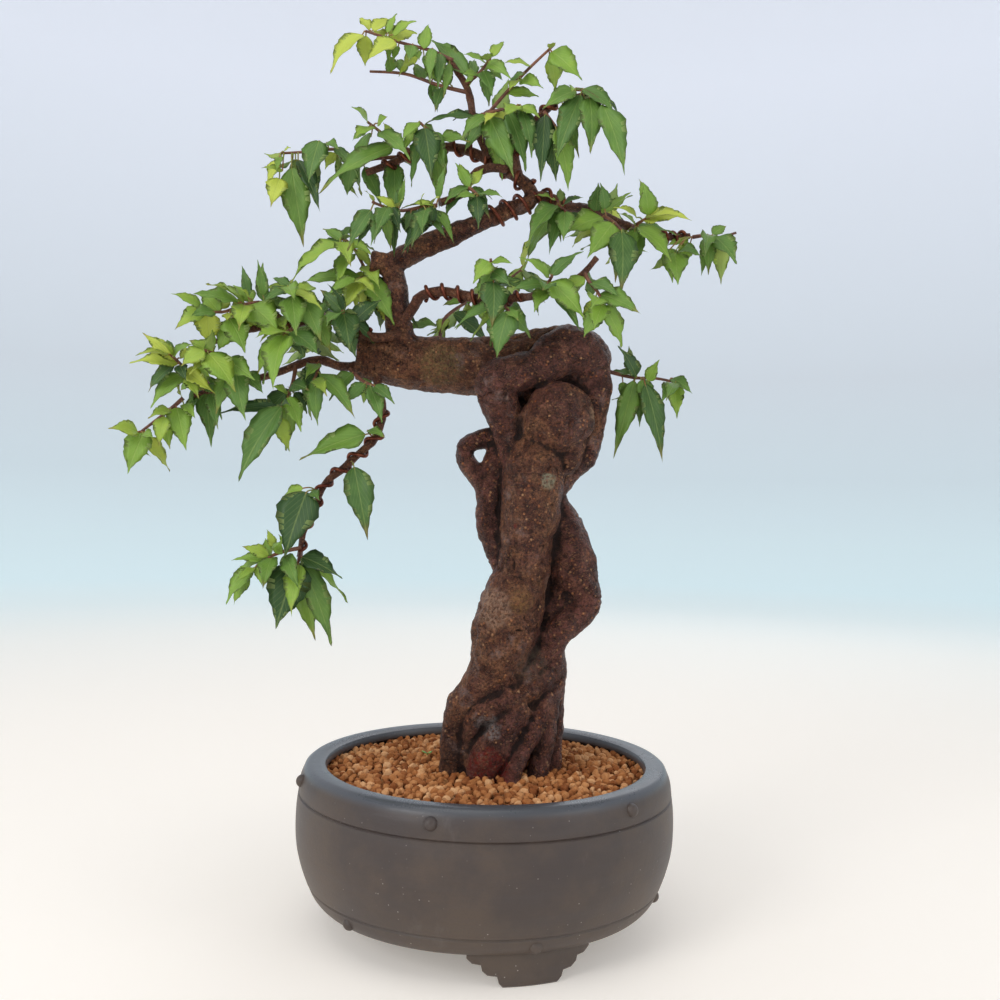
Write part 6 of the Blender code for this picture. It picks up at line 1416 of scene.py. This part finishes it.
def layYoungLeaf(elder, path, chance):
    # a smaller leaf of the same bud, turned about the upright, or nothing where it has no room
    for _ in range(leaf["youngTries"]):
        holder = path[chance.randrange(len(path))] if chance.random() < 0.4 else elder["holder"]
        holder = Vector(holder[:3])
        out = elder["tip"] - elder["root"]
        degrees = chance.choice((-1, 1)) * chance.uniform(*leaf["youngTurn"])
        out.rotate(Quaternion((0, 0, 1), math.radians(degrees)))
        size = chance.uniform(*leaf["youngSize"])
        out = out * size + Vector((0, 0, chance.uniform(-5, 4)))
        root = holder + out.normalized() * chance.uniform(2, 4.5)
        turn = chance.uniform(-leaf["turn"], leaf["turn"])
        if roomFor(root, root + out, elder["width"] * size, turn):
            return {"holder": holder, "root": root, "tip": root + out, "width": elder["width"] * size,
                    "turn": turn, "tone": min(1.0, elder["tone"] + chance.uniform(-0.15, 0.25)),
                    "under": False}
    return None


def stalkPath(blade):
    # from the twig, over a slight bow, into the foot of the blade
    heading = (blade["tip"] - blade["root"]).normalized()
    length = (blade["tip"] - blade["root"]).length
    holder, root = blade["holder"], blade["root"] + heading * length * 0.04
    bend = holder.lerp(root, 0.5) + Vector((0, 0, 0.12 * (root - holder).length + 0.4))
    size = leaf["stalkRadius"]
    rows = [tuple(holder) + (size * 1.3,), tuple(bend) + (size,), tuple(root) + (size * 0.9,),
            tuple(root + heading * length * 0.06) + (size * 0.5,)]
    return smoothPath(rows, 1.5)


def hangLeaves(name, blades, tree, shapes, paint):
    # one piece with all the blades of a shoot
    points, aims, sizes, picks, tones, chances = [], [], [], [], [], []
    for number, blade in enumerate(blades):
        chance = random.Random(f"{name} {number}")
        root = blade["root"].lerp(blade["tip"], 0.04)
        side, heading, face = bladeFrame(root, blade["tip"], blade["turn"])
        if blade["under"] or (heading.y > 0.35 and root.y > 12):
            side, face = -side, -face
        points.append(placed(*root))
        aims += list(Matrix((side, heading, face)).transposed().to_euler())
        reach = (blade["tip"] - root).length * mm
        sizes += [blade["width"] * mm, reach, reach * (-1 if blade["under"] else 1)]
        picks.append(chance.randrange(leaf["variants"]))
        tones.append(blade["tone"])
        chances.append(chance.random())
    mesh = bpy.data.meshes.new(name)
    mesh.from_pydata(points, [], [])
    mesh.attributes.new("aim", "FLOAT_VECTOR", "POINT").data.foreach_set("vector", aims)
    mesh.attributes.new("size", "FLOAT_VECTOR", "POINT").data.foreach_set("vector", sizes)
    mesh.attributes.new("variant", "INT", "POINT").data.foreach_set("value", picks)
    storeNumbers(mesh, "tone", tones)
    storeNumbers(mesh, "chance", chances)
    piece = meshObject(name, mesh)
    grow(piece, tree, {"Leaves": shapes, "Finish": paint})
    return piece


def makeShoots():
    paths, foliage = {}, {}
    for name, (twig, _) in shoots.items():
        rows = [point + (leaf["twigRadius"] * (1.3 - 0.55 * index / (len(twig) - 1)),)
                for index, point in enumerate(twig)]
        paths[name] = smoothPath(rows, 3)
    drawn = {name: leaves for name, (_, leaves) in shoots.items()}
    drawn["cascade"] = cascadeLeaves
    paths["cascade"] = smoothPath(branches["cascade_branch"], 6)
    for name, leaves in drawn.items():
        chance = random.Random(name)
        foliage[name] = [layLeaf(Vector(root), Vector(tip), width, tone, paths[name], chance)
                         for root, tip, width, tone in leaves]
    for name in shoots:
        chance = random.Random(name + " young")
        rounds = 2 if "left" in name or "apex" in name else 1  # the left and top shoots are the densest
        for elder in foliage[name] * rounds:
            if chance.random() < leaf["youngShare"]:
                young = layYoungLeaf(elder, paths[name], chance)
                foliage[name] += [young] if young else []
    shapes = library("leafShapes", [leafMesh(number) for number in range(leaf["variants"])])
    tree = leafTree()
    paint = leafPaint()
    for name, blades in foliage.items():
        piece = hangLeaves(name.replace("_shoot", "") + "_leaves", blades, tree, shapes, paint)
        settle(piece, [name] if name in shoots else [])
    twigs = tubes("twigs", [path for name, path in paths.items() if name in shoots], 3)
    twigs.data.materials.append(twigPaint("youngTwig", leaf["twig"]))
    settle(twigs)
    stalks = tubes("leaf_stalks", [stalkPath(blade) for blades in foliage.values() for blade in blades], 1)
    stalks.data.materials.append(twigPaint("leafStalk", leaf["stalk"]))
    settle(stalks)
    print(len(placedBlades), "leaves,", len(stalks.data.polygons), "faces of stalks")


makeShoots()
print("the shoots are in leaf")

# The seedling in the soil: its leaves are given by direction in degrees and length
sprout = {
    "place": (-41, 12), "height": 4.5, "leaves": [(40, 4), (160, 4.5), (280, 4), (350, 3)],
    "thickness": 0.25, "dark": tint(96, 150, 52), "pale": tint(140, 184, 72),
}


def makeSprout():
    x, y = sprout["place"]
    ground = soilHeight(math.hypot(x, y)) - 1
    top = ground + sprout["height"]
    paths = [[(x, y, ground, 0.5), (x + 0.5, y, top - 2, 0.45), (x + 1, y, top, 0.35)]]
    stem = tubes("seedling_stem", paths, 2)
    paint = Paint("seedlingGreen", {"Roughness": 0.5})
    paint.feed("Base Color", paint.mix(paint.cloud(300).rise(0.4, 0.6), sprout["dark"], sprout["pale"]))
    shape = bmesh.new()
    shape.from_mesh(stem.data)
    for degrees, length in sprout["leaves"]:
        turn = math.radians(degrees)
        out = Vector((math.cos(turn), math.sin(turn), 0.35)) * length
        wide = Vector((-math.sin(turn), math.cos(turn), 0)) * length * 0.28
        root = Vector((x + 1, y, top))
        rim = [root, root + out * 0.35 + wide, root + out * 0.75 + wide * 0.8, root + out,
               root + out * 0.75 - wide * 0.8, root + out * 0.35 - wide]
        ring = [shape.verts.new(placed(*point)) for point in rim]
        low = [shape.verts.new(placed(*(point - Vector((0, 0, sprout["thickness"]))))) for point in rim]
        shape.faces.new(ring)
        shape.faces.new(reversed(low))
        for side in range(len(ring)):
            shape.faces.new((ring[side - 1], low[side - 1], low[side], ring[side]))
    bpy.data.objects.remove(stem, do_unlink=True)
    piece = fromShape("seedling", shape)
    piece.data.materials.append(paint.material)
    settle(piece)


makeSprout()
print("the seedling is up")

netting = {"dark": tint(38, 42, 38), "pale": tint(52, 56, 50)}


def paintNetting():
    # the mesh over the drain hole keeps its own shape
    paint = Paint("blackMesh", {"Roughness": 0.5})
    paint.feed("Base Color", paint.mix(paint.cloud(200), netting["dark"], netting["pale"]))
    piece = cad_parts["drainage_mesh"]
    piece.data.materials.clear()
    piece.data.materials.append(paint.material)


paintNetting()
print("the drainage mesh is painted")
print("all pieces are in place")
